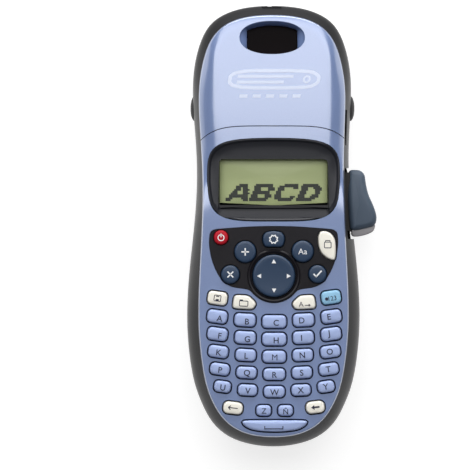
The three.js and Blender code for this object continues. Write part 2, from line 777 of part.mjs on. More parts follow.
// ---- cassette: a hollow case with a round window and a notch for the print unit, and its spool
const SPOOL = [-1.5, 57.6 * KY];
const caseOutline = [
  [-21, 47.4],
  [17.5, 47.4],
  [20.6, 50.4],
  [20.6, 63],
  [17.6, 66],
  [4.4, 66.6],
  [2.6, 70.2],
  [-12, 71.2],
  [-12, 80.5],
  [-20, 80.5],
  [-23.4, 77],
  [-23.4, 50],
].map(([x, y]) => [x * KX, y * KY]);
const CASE_Z = [11, 11 + TAPE_W + 6];
const shrink = (pts, d) => grow(pts, -d);
let cassette = prism(caseOutline, CASE_Z[0], CASE_Z[1]);
cassette = cut(
  cassette,
  prism(shrink(caseOutline, 1.4), CASE_Z[0] + 1.4, CASE_Z[1] - 1.4),
  rod(SPOOL[0], SPOOL[1], 4.4, CASE_Z[0] - 1, CASE_Z[1] + 1, 24),
  block(-3.6, 1.4, 67.6 * KY, 74 * KY, CASE_Z[0] + 1.6, CASE_Z[1] - 1.6),
);
add("tape_cassette", cassette, 0x2b2a4a, 0.35);
const core = rod(SPOOL[0], SPOOL[1], 3.9, CASE_Z[0] + 0.4, CASE_Z[1] - 0.6, 24);
const roll = rod(SPOOL[0], SPOOL[1], 7.8, CASE_Z[0] + 2.6, CASE_Z[1] - 2.6, 32);
const bore = rod(SPOOL[0], SPOOL[1], 2.2, 0, 60, 18);
add("tape_spool", core.add(roll).subtract(bore), 0xe9e6dc, 0.6);

export default group;
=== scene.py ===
# %% [markdown]
# # A handheld label maker, dressed for rendering
# The solid model already says where every part sits and how it moves. In this lesson each visible part gets
# a finer surface and a finish. Lengths are written in millimetres and multiplied by MM, because Blender works
# in metres.

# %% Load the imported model
import math

import bpy
import numpy as np
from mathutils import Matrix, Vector


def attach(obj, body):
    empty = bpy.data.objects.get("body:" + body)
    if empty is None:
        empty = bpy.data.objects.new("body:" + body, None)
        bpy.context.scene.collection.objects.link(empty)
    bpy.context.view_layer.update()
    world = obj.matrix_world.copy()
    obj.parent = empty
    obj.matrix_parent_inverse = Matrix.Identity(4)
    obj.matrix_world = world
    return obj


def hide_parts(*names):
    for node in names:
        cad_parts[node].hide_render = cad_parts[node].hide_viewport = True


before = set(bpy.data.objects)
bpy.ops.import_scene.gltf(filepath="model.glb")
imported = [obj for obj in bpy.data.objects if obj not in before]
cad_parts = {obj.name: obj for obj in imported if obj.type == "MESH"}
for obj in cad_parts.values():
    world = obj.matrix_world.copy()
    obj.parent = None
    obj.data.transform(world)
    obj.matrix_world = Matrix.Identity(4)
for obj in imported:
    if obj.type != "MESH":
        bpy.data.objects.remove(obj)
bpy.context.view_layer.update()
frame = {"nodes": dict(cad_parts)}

MM = 0.001

# %% [markdown]
# ## Building meshes from arrays
# A surface here is a stack of rings: each ring holds the same number of points, and quads join every ring to
# the next. It is the quickest closed form that numpy can make without a loop over points. The ends are closed
# by a fan to a middle point, or the last ring joins the first where the form is a loop.

# %% Ring stacks and plain slabs
def ring_faces(count, around, loop=False):
    """Quads between neighbouring rings: corner k, k+1 on one ring and the same two on the next."""
    ring = np.arange(count if loop else count - 1)[:, None]
    spot = np.arange(around)[None, :]
    nxt = (spot + 1) % around
    up = (ring + 1) % count
    quads = [ring * around + spot, ring * around + nxt, up * around + nxt, up * around + spot]
    return np.stack(quads, -1).reshape(-1, 4).tolist()


def stack(rings, loop=False):
    """Points and faces of a stack of rings (ring, point, xyz), ends closed by fans unless it is a loop."""
    rings = np.asarray(rings, float)
    count, around = rings.shape[:2]
    points = rings.reshape(-1, 3)
    faces = ring_faces(count, around, loop)
    if not loop:
        points = np.vstack([points, rings[0].mean(0), rings[-1].mean(0)])
        spot = np.arange(around)
        nxt = (spot + 1) % around
        low, high = count * around, count * around + 1
        faces += np.stack([nxt, spot, np.full(around, low)], -1).tolist()
        base = (count - 1) * around
        faces += np.stack([base + spot, base + nxt, np.full(around, high)], -1).tolist()
    return points, faces


def level(outline, z):
    """A flat outline (n, 2) lifted to height z, which may be one number or one per point."""
    return np.column_stack([outline, np.broadcast_to(z, len(outline))])


def slab(outline, z0, z1):
    """A straight prism between two heights over a flat outline."""
    return stack([level(outline, z0), level(outline, z1)])


def box(x, y, z):
    """A block between two values along each axis."""
    return slab(np.array([(x[0], y[0]), (x[1], y[0]), (x[1], y[1]), (x[0], y[1])], float), *z)


def merged(parts):
    """Several point and face lists as one; each part's face numbers are raised by the points before it."""
    points, faces, base = [], [], 0
    for p, f in parts:
        points.append(np.asarray(p, float))
        faces += [[i + base for i in face] for face in f]
        base += len(p)
    return np.vstack(points), faces


def parts_of(mesh):
    """Points in millimetres and faces of a Blender mesh."""
    points = np.empty(len(mesh.vertices) * 3)
    mesh.vertices.foreach_get("co", points)
    return points.reshape(-1, 3) / MM, [list(p.vertices) for p in mesh.polygons]


def shape(name, part, material=None, smooth=35):
    """A Blender object from points in millimetres; edges sharper than `smooth` degrees stay crisp."""
    points, faces = part
    mesh = bpy.data.meshes.new(name)
    mesh.from_pydata((np.asarray(points) * MM).tolist(), [], faces)
    mesh.validate()
    obj = bpy.data.objects.new(name, mesh)
    bpy.context.scene.collection.objects.link(obj)
    if material:
        mesh.materials.append(material)
    soften(obj, smooth)
    return obj


def soften(obj, angle):
    """Smooth shading everywhere except along edges that bend by more than `angle` degrees."""
    mesh = obj.data
    mesh.polygons.foreach_set("use_smooth", np.ones(len(mesh.polygons), bool))
    mesh.set_sharp_from_angle(angle=math.radians(angle))
    mesh.update()


def piece(name, part, material, body, nodes=(), smooth=35):
    """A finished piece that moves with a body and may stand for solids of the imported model."""
    obj = part if isinstance(part, bpy.types.Object) else shape(name, part, material, smooth)
    obj.name = name
    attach(obj, body)
    if nodes:
        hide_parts(*nodes)
    return obj


print("a square slab has", len(slab(np.array([(0, 0), (1, 0), (1, 1), (0, 1)]), 0, 1)[0]), "points")

# %% [markdown]
# ## Cutting
# Key holes, the lever pocket and the viewing recess are easiest as boolean cuts. The cutter is a mesh of its
# own that is thrown away afterwards, and the result is written into the piece, so no modifier stays live.

# %% Boolean helper
def carve(obj, part, how="DIFFERENCE", angle=35):
    """Apply one boolean with a throwaway cutter given as points and faces."""
    cutter = shape("cutter", part)
    mod = obj.modifiers.new("cut", "BOOLEAN")
    mod.operation = how
    mod.solver = "MANIFOLD"
    mod.object = cutter
    bpy.context.view_layer.update()
    graph = bpy.context.evaluated_depsgraph_get()
    result = bpy.data.meshes.new_from_object(obj.evaluated_get(graph))
    obj.modifiers.remove(mod)
    old = obj.data
    obj.data = result
    bpy.data.meshes.remove(old)
    bpy.data.objects.remove(cutter)
    soften(obj, angle)
    return obj


print("cutting is done with", carve.__name__)

# %% [markdown]
# ## Body outline
# The body is an hourglass seen from the front. A handful of stations give its half widths, and a smooth
# closed curve runs through them. The dark rear tray follows the outer curve, the blue face the inner one.

# %% Stations and the curve through them
SAG = 8.5  # how far the front falls at the label end
FACE_Z, RIM_Z, BULGE_Z = 46.0, 38.5, 24.0  # keypad plane, rim of the tray, widest line
WALL, GAP = 2.2, 0.3
LEAN = 0.65  # the upper half of the body sits this far to the left
OUTER_STATIONS = np.array([
    (0, -100), (9.5, -99.1), (17.9, -96.6), (24, -92.8), (29, -87.2), (33.2, -78.5), (36.4, -69), (38.6, -54),
    (39.2, -38.5), (38.2, -21), (36.2, -3), (34.5, 18), (34.5, 36), (35.9, 56), (35.6, 70), (33.4, 80.6),
    (30.1, 88.7), (24.6, 94.6), (14, 98.9), (0, 100),
], float)
FACE_STATIONS = np.array([
    (0, -95.4), (7.8, -94.9), (14.8, -92.9), (20.2, -89.6), (24.4, -85.1), (28.4, -78), (31.4, -68.5),
    (33.5, -53), (34.1, -38.5), (33.5, -21), (32.5, -3), (31.9, 18), (32.2, 36), (33.3, 57), (32.2, 70),
    (29.6, 80.4), (26, 86.9), (20.4, 91.8), (11.5, 94.9), (0, 95.7),
], float)
AROUND = 192


def closed_curve(right, around=AROUND):
    """Catmull-Rom through mirrored stations, then evenly spaced by length on each half, lightly smoothed."""
    left = right[-2:0:-1] * [-1, 1]
    p = np.vstack([right, left])
    a, b, c, d = np.roll(p, 1, 0), p, np.roll(p, -1, 0), np.roll(p, -2, 0)
    t = np.linspace(0, 1, 24, endpoint=False)[None, :, None]
    a, b, c, d = (q[:, None, :] for q in (a, b, c, d))
    fine = 0.5 * (2 * b + (c - a) * t + (2 * a - 5 * b + 4 * c - d) * t**2 + (3 * b - a - 3 * c + d) * t**3)
    fine = fine.reshape(-1, 2)
    wave = np.exp(-0.5 * (np.arange(-24, 25) / 9.0) ** 2)
    wave /= wave.sum()
    padded = np.vstack([fine[-24:], fine, fine[:24]])
    fine = np.stack([np.convolve(padded[:, k], wave, "valid") for k in range(2)], -1)
    half = fine[: len(fine) // 2 + 1]
    run = np.r_[0, np.cumsum(np.hypot(*np.diff(half, axis=0).T))]
    want = np.linspace(0, run[-1], around // 2 + 1)
    side = np.stack([np.interp(want, run, half[:, k]) for k in range(2)], -1)
    side[0, 0] = side[-1, 0] = 0
    return np.vstack([side, side[-2:0:-1] * [-1, 1]])


def inset(outline, d):
    """The outline moved inwards by d along its own normals."""
    run = np.roll(outline, -1, 0) - np.roll(outline, 1, 0)
    run /= np.maximum(np.hypot(run[:, :1], run[:, 1:]), 1e-9)
    return outline - d * np.column_stack([run[:, 1], -run[:, 0]])


def sag(y):
    """The front falls away towards the label end with the square of the distance."""
    return SAG * (np.maximum(y, 0) / 96.0) ** 2


def ease(a, b, x):
    """From 0 at a to 1 at b, level at both: three times the share squared less twice its cube."""
    t = np.clip((x - a) / (b - a), 0, 1)
    return t * t * (3 - 2 * t)


OUTER = closed_curve(OUTER_STATIONS)
FACE = closed_curve(FACE_STATIONS)
for curve in (OUTER, FACE):
    curve[:, 0] -= LEAN * ease(5, 55, curve[:, 1])

print("outer outline", OUTER.min(0), OUTER.max(0), "face outline", FACE.min(0), FACE.max(0))

# %% [markdown]
# ## Finishes
# Nearly everything is moulded plastic, so one recipe serves: a base colour with faint clouds, a fine grain
# that bumps the surface, and a gloss that varies a little. The numbers differ: the face is a pearl paint
# over plastic, the tray a spark-eroded grain, the keys smooth satin and the lever a soft coating.

# %% Recipe for moulded and painted finishes
def noise(tree, where, scale, detail):
    """Cloudy values between 0 and 1 at the given coordinates."""
    node = tree.nodes.new("ShaderNodeTexNoise")
    node.inputs["Scale"].default_value = scale
    node.inputs["Detail"].default_value = detail
    tree.links.new(where, node.inputs["Vector"])
    return node.outputs["Fac"]


def remap(tree, value, from_min, from_max, to_min, to_max):
    """The value moved in proportion from one range to another."""
    node = tree.nodes.new("ShaderNodeMapRange")
    ends = {"From Min": from_min, "From Max": from_max, "To Min": to_min, "To Max": to_max}
    for end, number in ends.items():
        node.inputs[end].default_value = number
    tree.links.new(value, node.inputs["Value"])
    return node.outputs["Result"]


def blend(tree, share, first, second):
    """A colour that goes from the first to the second; the first may come from another node."""
    node = tree.nodes.new("ShaderNodeMix")
    node.data_type = "RGBA"
    if isinstance(first, list):
        node.inputs["A"].default_value = (*first, 1)
    else:
        tree.links.new(first, node.inputs["A"])
    node.inputs["B"].default_value = (*second, 1)
    tree.links.new(share, node.inputs["Factor"])
    return node.outputs["Result"]


def finish(name, colour, rough, metal=0.0, grain=0.02, grain_scale=2600.0, cloud=0.06, coat=0.0, flake=0.0,
           spread=0.08, specular=0.5):
    """Principled surface whose colour, roughness and bump come from noise on object coordinates."""
    material = bpy.data.materials.new(name)
    material.use_nodes = True
    tree = material.node_tree
    nodes, links = tree.nodes, tree.links
    bsdf = nodes["Principled BSDF"]
    where = nodes.new("ShaderNodeTexCoord").outputs["Object"]
    clouds = noise(tree, where, 38.0, 4.0)
    fine = noise(tree, where, grain_scale, 2.0)
    dark = [c * (1 - cloud) for c in colour]
    light = [min(1.0, c * (1 + cloud)) for c in colour]
    colour_out = blend(tree, clouds, dark, light)
    if flake:
        sparkle = nodes.new("ShaderNodeTexVoronoi")
        sparkle.inputs["Scale"].default_value = 3400.0
        links.new(where, sparkle.inputs["Vector"])
        amount = remap(tree, sparkle.outputs["Distance"], 0.0, 0.6, flake, 0.0)
        colour_out = blend(tree, amount, colour_out, [min(1.0, c * 1.5 + 0.06) for c in colour])
    links.new(colour_out, bsdf.inputs["Base Color"])
    gloss = remap(tree, clouds, 0.3, 0.7, max(0.02, rough - spread / 2), rough + spread / 2)
    links.new(gloss, bsdf.inputs["Roughness"])
    bump = nodes.new("ShaderNodeBump")
    bump.inputs["Strength"].default_value = min(1.0, grain * 10)
    bump.inputs["Distance"].default_value = 0.00004
    links.new(fine, bump.inputs["Height"])
    links.new(bump.outputs["Normal"], bsdf.inputs["Normal"])
    bsdf.inputs["Metallic"].default_value = metal
    bsdf.inputs["Coat Weight"].default_value = coat
    bsdf.inputs["Coat Roughness"].default_value = 0.12
    bsdf.inputs["Specular IOR Level"].default_value = specular
    return material


def tuned(material, **values):
    """Set further inputs of a finish; the name of an input is written with underscores."""
    for name, value in values.items():
        bsdf = material.node_tree.nodes["Principled BSDF"]
        bsdf.inputs[name.replace("_", " ")].default_value = value
    return material


print("a finish takes a name, a colour and a roughness")

# %% [markdown]
# One line per finish. The pearl paint has a hard clear coat, which gives the lid its broad highlight, and the
# tray a faint sheen that lightens its edges, as fine grain does.

# %% The palette
PEARL = tuned(finish("pearl blue paint", (0.168, 0.24, 0.452), 0.4, metal=0.12, grain=0.004, cloud=0.03,
                     flake=0.12, coat=1.0, specular=0.3), Coat_IOR=2.25, Coat_Roughness=0.22)
TRAY = tuned(finish("grained dark tray", (0.011, 0.011, 0.0125), 0.42, specular=0.14, grain=0.05,
                    grain_scale=3000, cloud=0.08), Sheen_Weight=0.22, Sheen_Roughness=0.3)
INLAY = finish("black inlay", (0.007, 0.006, 0.009), 0.34, grain=0.02, cloud=0.1, specular=0.3)
BEZEL = finish("dark display frame", (0.013, 0.014, 0.019), 0.36, specular=0.3, grain=0.03, cloud=0.06)
KEY_BLUE = finish("key blue", (0.37, 0.46, 0.74), 0.42, metal=0.2, grain=0.006, cloud=0.03)
KEY_CREAM = finish("key cream", (0.90, 0.87, 0.78), 0.5, grain=0.01, cloud=0.02)
KEY_CYAN = finish("key cyan", (0.28, 0.54, 0.76), 0.45, grain=0.01, cloud=0.03)
KEY_NAVY = finish("key navy", (0.016, 0.040, 0.088), 0.36, grain=0.012, cloud=0.06)
KEY_RED = finish("key red", (0.45, 0.010, 0.022), 0.4, grain=0.01, cloud=0.05, specular=0.18)
INK_DARK = finish("dark legend ink", (0.007, 0.009, 0.035), 0.55, grain=0.01, cloud=0.05)
INK_WHITE = finish("white legend ink", (0.86, 0.87, 0.88), 0.5, grain=0.01, cloud=0.02)
INK_PEARL = finish("pale mark on the lid", (0.53, 0.58, 0.71), 0.42, metal=0.25, grain=0.01, cloud=0.02)
SOFT = finish("soft lever coating", (0.05, 0.074, 0.108), 0.62, grain=0.03, cloud=0.06)
LIP = finish("lever lip", (0.30, 0.29, 0.30), 0.42, grain=0.02, cloud=0.04)
RUBBER = finish("black rubber", (0.018, 0.018, 0.02), 0.7, grain=0.06, cloud=0.1)
# Key mat: a real rubber part, and its near-black navy is also painted shade for the deep gaps round the keys.
MAT_AND_GAP_SHADE = finish("dark key mat", (0.006, 0.009, 0.04), 0.65, grain=0.03, cloud=0.06)
STEEL = finish("plated steel", (0.55, 0.56, 0.58), 0.28, metal=1.0, grain=0.02, grain_scale=900, cloud=0.04)
BRASS = finish("contact plating", (0.72, 0.66, 0.5), 0.3, metal=1.0, grain=0.02, cloud=0.05)
ALUMINIUM = finish("head aluminium", (0.5, 0.52, 0.55), 0.4, metal=0.9, grain=0.03, grain_scale=700,
                   cloud=0.04)
ACETAL = finish("acetal gear", (0.72, 0.68, 0.56), 0.5, grain=0.02, cloud=0.03)
GREY = finish("light grey moulding", (0.36, 0.36, 0.36), 0.45, grain=0.03, cloud=0.04)
CASE = finish("dark violet case", (0.022, 0.018, 0.06), 0.3, grain=0.02, cloud=0.06)
PAPER = finish("white paper tape", (0.82, 0.81, 0.78), 0.75, grain=0.03, grain_scale=1800, cloud=0.02)
CELL_SLEEVE = finish("cell sleeve", (0.03, 0.032, 0.036), 0.3, metal=0.4, grain=0.01, cloud=0.05)
CELL_BAND = finish("cell band", (0.55, 0.30, 0.08), 0.28, metal=0.7, grain=0.01, cloud=0.04)
CHIP = finish("chip body", (0.02, 0.02, 0.022), 0.5, grain=0.05, cloud=0.08)
print("finishes:", len(bpy.data.materials))

# %% [markdown]
# Three finishes need a recipe of their own. The circuit board shows tracks under its green mask, drawn by a
# brick pattern, the cover of the display is a thin clear sheet, and the film below it has a faint grid.

# %% Board, cover and film
def bricked(material, scale, mortar_size, first, second, mortar):
    """Colour a finish by a brick pattern of two colours with lines of a third between them."""
    nodes, links = material.node_tree.nodes, material.node_tree.links
    bricks = nodes.new("ShaderNodeTexBrick")
    bricks.inputs["Scale"].default_value = scale
    bricks.inputs["Mortar Size"].default_value = mortar_size
    for place, colour in {"Color1": first, "Color2": second, "Mortar": mortar}.items():
        bricks.inputs[place].default_value = (*colour, 1)
    links.new(nodes.new("ShaderNodeTexCoord").outputs["Object"], bricks.inputs["Vector"])
    links.new(bricks.outputs["Color"], nodes["Principled BSDF"].inputs["Base Color"])
    return bricks


def clear_finish(name, colour, alpha, rough):
    """A thin clear sheet: mostly see-through, with gloss on top."""
    material = finish(name, colour, rough, grain=0.002, cloud=0.02, spread=0.02)
    return tuned(material, Alpha=alpha)


BOARD = finish("green board", (0.02, 0.12, 0.05), 0.4, grain=0.02)
bricked(BOARD, 210.0, 0.06, (0.015, 0.10, 0.04), (0.02, 0.13, 0.05), (0.04, 0.24, 0.10))
GLASS = clear_finish("clear cover", (0.35, 0.38, 0.3), 0.03, 0.06)
SMOKE = tuned(clear_finish("smoked pane", (0.003, 0.0015, 0.002), 1.0, 0.2), Specular_IOR_Level=0.03)
FILM = finish("display film", (0.40, 0.46, 0.215), 0.42, grain=0.01, cloud=0.035)
squares = bricked(FILM, 1.0 / (0.56 * MM), 0.07, (0.395, 0.455, 0.21), (0.405, 0.465, 0.22),
                  (0.42, 0.48, 0.235))
squares.offset = 0.0
squares.inputs["Brick Width"].default_value = 1.0
squares.inputs["Row Height"].default_value = 1.0
DOTS = finish("display dots", (0.004, 0.007, 0.005), 0.5, grain=0.01, cloud=0.05)
print("finishes with the special ones:", len(bpy.data.materials))

# %% [markdown]
# ## Where the keys are
# The letter rows smile: the outer columns sit higher and lean. Every key is an outline in the keypad plane. A
# rounded box serves for most, and a few control points with their corners cut for the odd ones.

# %% Key outlines
KEY_W, KEY_H, ROW = 9.1, 5.9, 7.9
KEY_POINTS = 56


def even(outline, count=KEY_POINTS):
    """The same closed outline with its points evenly spaced."""
    loop = np.vstack([outline, outline[:1]])
    run = np.r_[0, np.cumsum(np.hypot(*np.diff(loop, axis=0).T))]
    want = np.linspace(0, run[-1], count, endpoint=False)
    return np.stack([np.interp(want, run, loop[:, k]) for k in range(2)], -1)


def rounded_box(w, h, r, steps=7):
    """Four quarter circles joined by straight sides."""
    a = np.linspace(0, np.pi / 2, steps)
    quarter = np.stack([np.cos(a), np.sin(a)], -1) * r
    turns = [(1, -1, -90), (1, 1, 0), (-1, 1, 90), (-1, -1, 180)]
    parts = []
    for sx, sy, deg in turns:
        c, s = math.cos(math.radians(deg)), math.sin(math.radians(deg))
        parts.append(quarter @ np.array([[c, s], [-s, c]]) + [sx * (w / 2 - r), sy * (h / 2 - r)])
    return np.vstack(parts)


def cut_corners(points, times=3):
    """Each corner replaced by two points a fifth of the way along its sides."""
    p = np.array(points, float)
    for _ in range(times):
        q = np.roll(p, -1, 0)
        p = np.stack([0.8 * p + 0.2 * q, 0.2 * p + 0.8 * q], 1).reshape(-1, 2)
    return p


def disc(r, n=KEY_POINTS):
    """Points evenly round a circle."""
    a = np.linspace(0, 2 * np.pi, n, endpoint=False)
    return np.stack([np.cos(a), np.sin(a)], -1) * r


def placed(outline, x, y, turn=0.0):
    """An outline turned by some degrees, then moved."""
    c, s = math.cos(math.radians(turn)), math.sin(math.radians(turn))
    return outline @ np.array([[c, s], [-s, c]]) + [x, y]


keys = {}


def key(name, outline, x, y, turn, material, slot, rise=1.3):
    """Remember one key: its outline in place, its middle and lean, its finish and its height."""
    keys[name] = dict(line=placed(even(outline), x, y, turn), at=(x, y), turn=turn, mat=material, slot=slot,
                      rise=rise)


FIRST_ROW = -43.05
EXTRA_W = [(1.8, 0.5, 0), (1.8, 0.4, 0), (1.5, 0.1, -0.1), (0.8, 0, -0.3), (0.4, -0.4, -1.5)]
COLUMNS = [(0, 13.2, 25.7), (0, 13.1, 25.6), (0, 12.85, 25.25), (0, 12.5, 24.55), (0, 12.05, 23.35)]
LESS_H = [0, 0.1, 0.4, 0.55, 0.7]
for r, row in enumerate(["abcde", "fghij", "klmno", "pqrst", "uvwxy"]):
    for c, letter in enumerate(row):
        side = c - 2
        reach = abs(side)
        sign = (side > 0) - (side < 0)
        cap_outline = rounded_box(KEY_W + EXTRA_W[r][reach], KEY_H - LESS_H[r], 2.0)
        x = 0.3 + sign * COLUMNS[r][reach]
        y = FIRST_ROW - r * ROW + [0, 0.75, 2.3][reach]
        key("key_" + letter, cap_outline, x, y, sign * [0, 3, 8][reach], KEY_BLUE, "key_blue")

LAST_ROW = FIRST_ROW - 5.07 * ROW
TOP_ROW = FIRST_ROW + 8.75
key("key_z", rounded_box(6.7, 4.9, 1.8), -4.45, LAST_ROW, 0, KEY_BLUE, "key_blue")
key("key_n_tilde", rounded_box(6.7, 4.9, 1.8), 5.35, LAST_ROW, 0, KEY_BLUE, "key_blue")
key("key_clear", rounded_box(8.8, 5.5, 2.2), -18.3, LAST_ROW + 1.15, -7, KEY_CREAM, "key_cream")
key("key_backspace", rounded_box(8.4, 5.5, 2.3), 18.8, LAST_ROW + 1.45, 7, KEY_CREAM, "key_cream")
key("key_save", rounded_box(8.8, 6.0, 1.9), -25.3, TOP_ROW + 1.85, -8, KEY_CREAM, "key_cream")
key("key_number", rounded_box(8.8, 6.0, 1.9), 25.9, TOP_ROW + 2.2, 8, KEY_CYAN, "key_cyan")
LEAF = np.array([(-4.7, -3.1), (3.2, -3.1), (4.4, -2.4), (5.2, -0.8), (4.7, 0.5), (2.2, 2.6), (0.9, 3.1),
                 (-3.9, 3.1), (-4.9, 2.2), (-5.3, -1.9)])
key("key_open", cut_corners(LEAF), -13.1, TOP_ROW, -3, KEY_CREAM, "key_cream")
key("key_caps", cut_corners(LEAF[::-1] * [-1, 1]), 13.6, TOP_ROW, 3, KEY_CREAM, "key_cream")
SPACE = [(-11.2, -1.3), (-6.5, -2.2), (0, -2.5), (6.5, -2.2), (11.2, -1.3), (14, 0.4), (14.9, 1.9),
         (14.1, 2.8), (-14.1, 2.8), (-14.9, 1.9), (-14, 0.4)]
key("key_space", cut_corners(SPACE), 0.5, FIRST_ROW - 47.2, 0, KEY_BLUE, "key_blue")
NAV = (0.1, -22.4)
key("key_power", disc(3.3), -23.7, -5.1, 0, KEY_RED, "key_red", 1.7)
key("key_insert", disc(4.95), -12.8, -11.6, 0, KEY_NAVY, "key_navy", 1.7)
key("key_format", disc(4.95), 13.1, -11.4, 0, KEY_NAVY, "key_navy", 1.7)
key("key_cancel", disc(4.2), -19.5, -21.8, 0, KEY_NAVY, "key_navy", 1.7)
key("key_ok", disc(4.1), 19.8, -21.6, 0, KEY_NAVY, "key_navy", 1.7)
key("key_arrows", disc(9.6), NAV[0], NAV[1], 0, KEY_NAVY, "key_navy", 2.1)
SETTINGS = [(-2.6, -3.6), (0, -3.5), (2.6, -3.6), (4.2, -3.2), (5.1, -0.4), (4.9, 1.6), (3.6, 3.2), (0, 3.9),
            (-3.6, 3.2), (-4.9, 1.6), (-5.1, -0.4), (-4.2, -3.2)]
key("key_settings", cut_corners(SETTINGS), 0, -5.9, 0, KEY_NAVY, "key_navy", 1.7)
PRINT = [(-3.6, 3.8), (-3.3, -0.3), (-2.2, -3.4), (0.3, -5.6), (3, -6.8), (4.2, -6.2), (4.5, -2), (4.2, 2.6),
         (2.6, 5.2), (0.2, 6.5), (-2.6, 6.4)]
key("key_print", cut_corners(PRINT), 23.6, -8.7, 0, KEY_CREAM, "key_cream", 1.7)
print("keys:", len(keys))

# %% [markdown]
# ## The blue front
# The lid and the front housing are one moulded skin, split along a curved seam. The skin is worked out once:
# a tight edge round the keypad, a wider roll along the sides of the lid, and the sag towards the label end.
# Making both from the same skin keeps the seam flush.

# %% The skin of the front
ROLL = 6.0
ROLL_WIDTH = 9.6


def front_height(y, d):
    """Height of the skin at distance d inside its outline.

    It is the face plane less the sag, less a tight rounded edge, less a wider roll along the lid's sides.
    """
    lid = ease(6, 38, y) * (1 - 0.85 * ease(70, 92, y))
    deep = 7.2 - ROLL * lid
    edge = deep * (1 - np.clip(d / 0.65, 0, 1)) ** 2.4
    near = np.clip(1 - d / (ROLL_WIDTH * (1 - 0.5 * ease(58, 84, y))), 0, 1)
    return FACE_Z - sag(y) - edge - ROLL * near**2.1 * lid


def skin_at(points):
    """Height of the skin over any flat point, its distance taken to the nearest side of the outline."""
    side = FACE[: AROUND // 2 + 1]
    half = np.interp(points[:, 1], side[:, 1], side[:, 0])
    middle = -LEAN * ease(5, 55, points[:, 1])
    d = np.maximum(half - middle - np.abs(points[:, 0] - middle), 0)
    return front_height(points[:, 1], d)


def front_skin(shift, depths, across=36):
    """Rings that follow the outline inwards, then rows from the left side to the right over the middle."""
    rings = []
    for d in depths:
        line = inset(FACE, d)
        rings.append(level(line, front_height(line[:, 1], np.full(len(line), d)) - shift))
    rings = np.array(rings)
    last = rings[-1]
    half = AROUND // 2
    right = last[1:half]
    left = last[:half:-1]
    t = np.linspace(0, 1, across + 1)[None, 1:-1, None]
    rows = left[:, None, :] * (1 - t) + right[:, None, :] * t
    return rings, rows


def cap_faces(rows, start, ring_base, up=True):
    """Quads over the rows, with the ring's own points at both ends and a fan at the first and last row."""
    half = AROUND // 2
    count, inner = rows.shape[:2]
    right = ring_base + np.arange(1, half)
    left = ring_base + np.arange(AROUND - 1, half, -1)
    middle = start + np.arange(count * inner).reshape(count, inner)
    table = np.column_stack([left, middle, right])
    quads = np.stack([table[:-1, :-1], table[:-1, 1:], table[1:, 1:], table[1:, :-1]], -1).reshape(-1, 4)
    low, high = table[0], table[-1]
    fan_low = np.stack([np.full(len(low) - 1, ring_base), low[1:], low[:-1]], -1)
    fan_high = np.stack([np.full(len(high) - 1, ring_base + half), high[:-1], high[1:]], -1)
    faces = quads.tolist() + fan_low.tolist() + fan_high.tolist()
    return faces if up else [f[::-1] for f in faces]


def front_shell(thick, solid=False):
    """The closed skin: outside, and inside unless it is wanted solid for cutting."""
    depths = [0, 0.05, 0.12, 0.22, 0.36, 0.55, 0.8, 1.1, 1.5, 2.1, 2.8, 3.6, 4.5, 5.5, 6.6, 7.8, 9.0, 10.2]
    outer, rows = front_skin(0, depths)
    outer[0, :, 2] = RIM_Z + GAP - sag(outer[0, :, 1])
    points = [outer.reshape(-1, 3), rows.reshape(-1, 3)]
    faces = ring_faces(len(outer), AROUND)
    start = outer.shape[0] * AROUND
    faces += cap_faces(rows, start, (len(outer) - 1) * AROUND)
    base = start + rows.shape[0] * rows.shape[1]
    if solid:
        low, low_rows = front_skin(0, [0])
        low_rows[..., 2] = RIM_Z + GAP - sag(low_rows[..., 1])
        points.append(low_rows.reshape(-1, 3))
        faces += cap_faces(low_rows, base, 0, up=False)
        return np.vstack(points), faces
    inner, inner_rows = front_skin(thick, [1.5, 1.52, 1.8, 2.3, 3.0, 4.0, 5.4, 7.0, 8.6, 10.2])
    lowest = RIM_Z + GAP - sag(inner[..., 1])
    inner[..., 2] = np.maximum(inner[..., 2], lowest + 0.02 * np.arange(len(inner))[:, None])
    inner[0, :, 2] = lowest[0]
    points += [inner.reshape(-1, 3), inner_rows.reshape(-1, 3)]
    faces += [[i + base for i in f[::-1]] for f in ring_faces(len(inner), AROUND)]
    start = base + inner.shape[0] * AROUND
    faces += cap_faces(inner_rows, start, base + (len(inner) - 1) * AROUND, up=False)
    spot = np.arange(AROUND)
    nxt = (spot + 1) % AROUND
    faces += np.stack([nxt, spot, base + spot, base + nxt], -1).tolist()
    return np.vstack(points), faces


def seam_region(shift, above):
    """Everything on one side of the curved seam, as a tall slab."""
    x = np.linspace(-50, 50, 161)
    y = 45.2 - 6.5 * np.minimum(1.08, np.abs(x) / 33) ** 5 + shift
    line = np.stack([x, y], -1)
    far = 130 if above else -130
    loop = np.vstack([line, [(50, far), (-50, far)]])
    return slab(loop if above else loop[::-1], 10, 60)


print("highest point of the skin:", round(float(skin_at(FACE * 0.5).max()), 2), "mm")

# %% [markdown]
# ## Front housing
# The key holes are a little wider than the keys, which leaves the dark line that frames each key; the
# near-black key mat seen through the gaps adds painted shade to that line. The black inlay lies in a shallow
# pocket and the display frame in an opening of its own.

# %% Outlines of the inlay and the display frame
half_panel = [(0, 0), (10, -0.2), (20, -0.9), (28.6, -1.6), (29.2, -8), (28, -15), (25.6, -21), (22.4, -25.6),
              (18.4, -27.6), (11.2, -28.5)]
arc = np.radians(-33 - 114 * np.arange(1, 12) / 12)
bulge = np.stack([NAV[0] + 12.3 * np.cos(arc), NAV[1] + 12.3 * np.sin(arc)], -1)
right_side = np.array(half_panel)
left_side = right_side[:0:-1] * [-1, 1]
PANEL = np.vstack([right_side, bulge, left_side])[::-1]
PANEL = cut_corners(PANEL, 2)


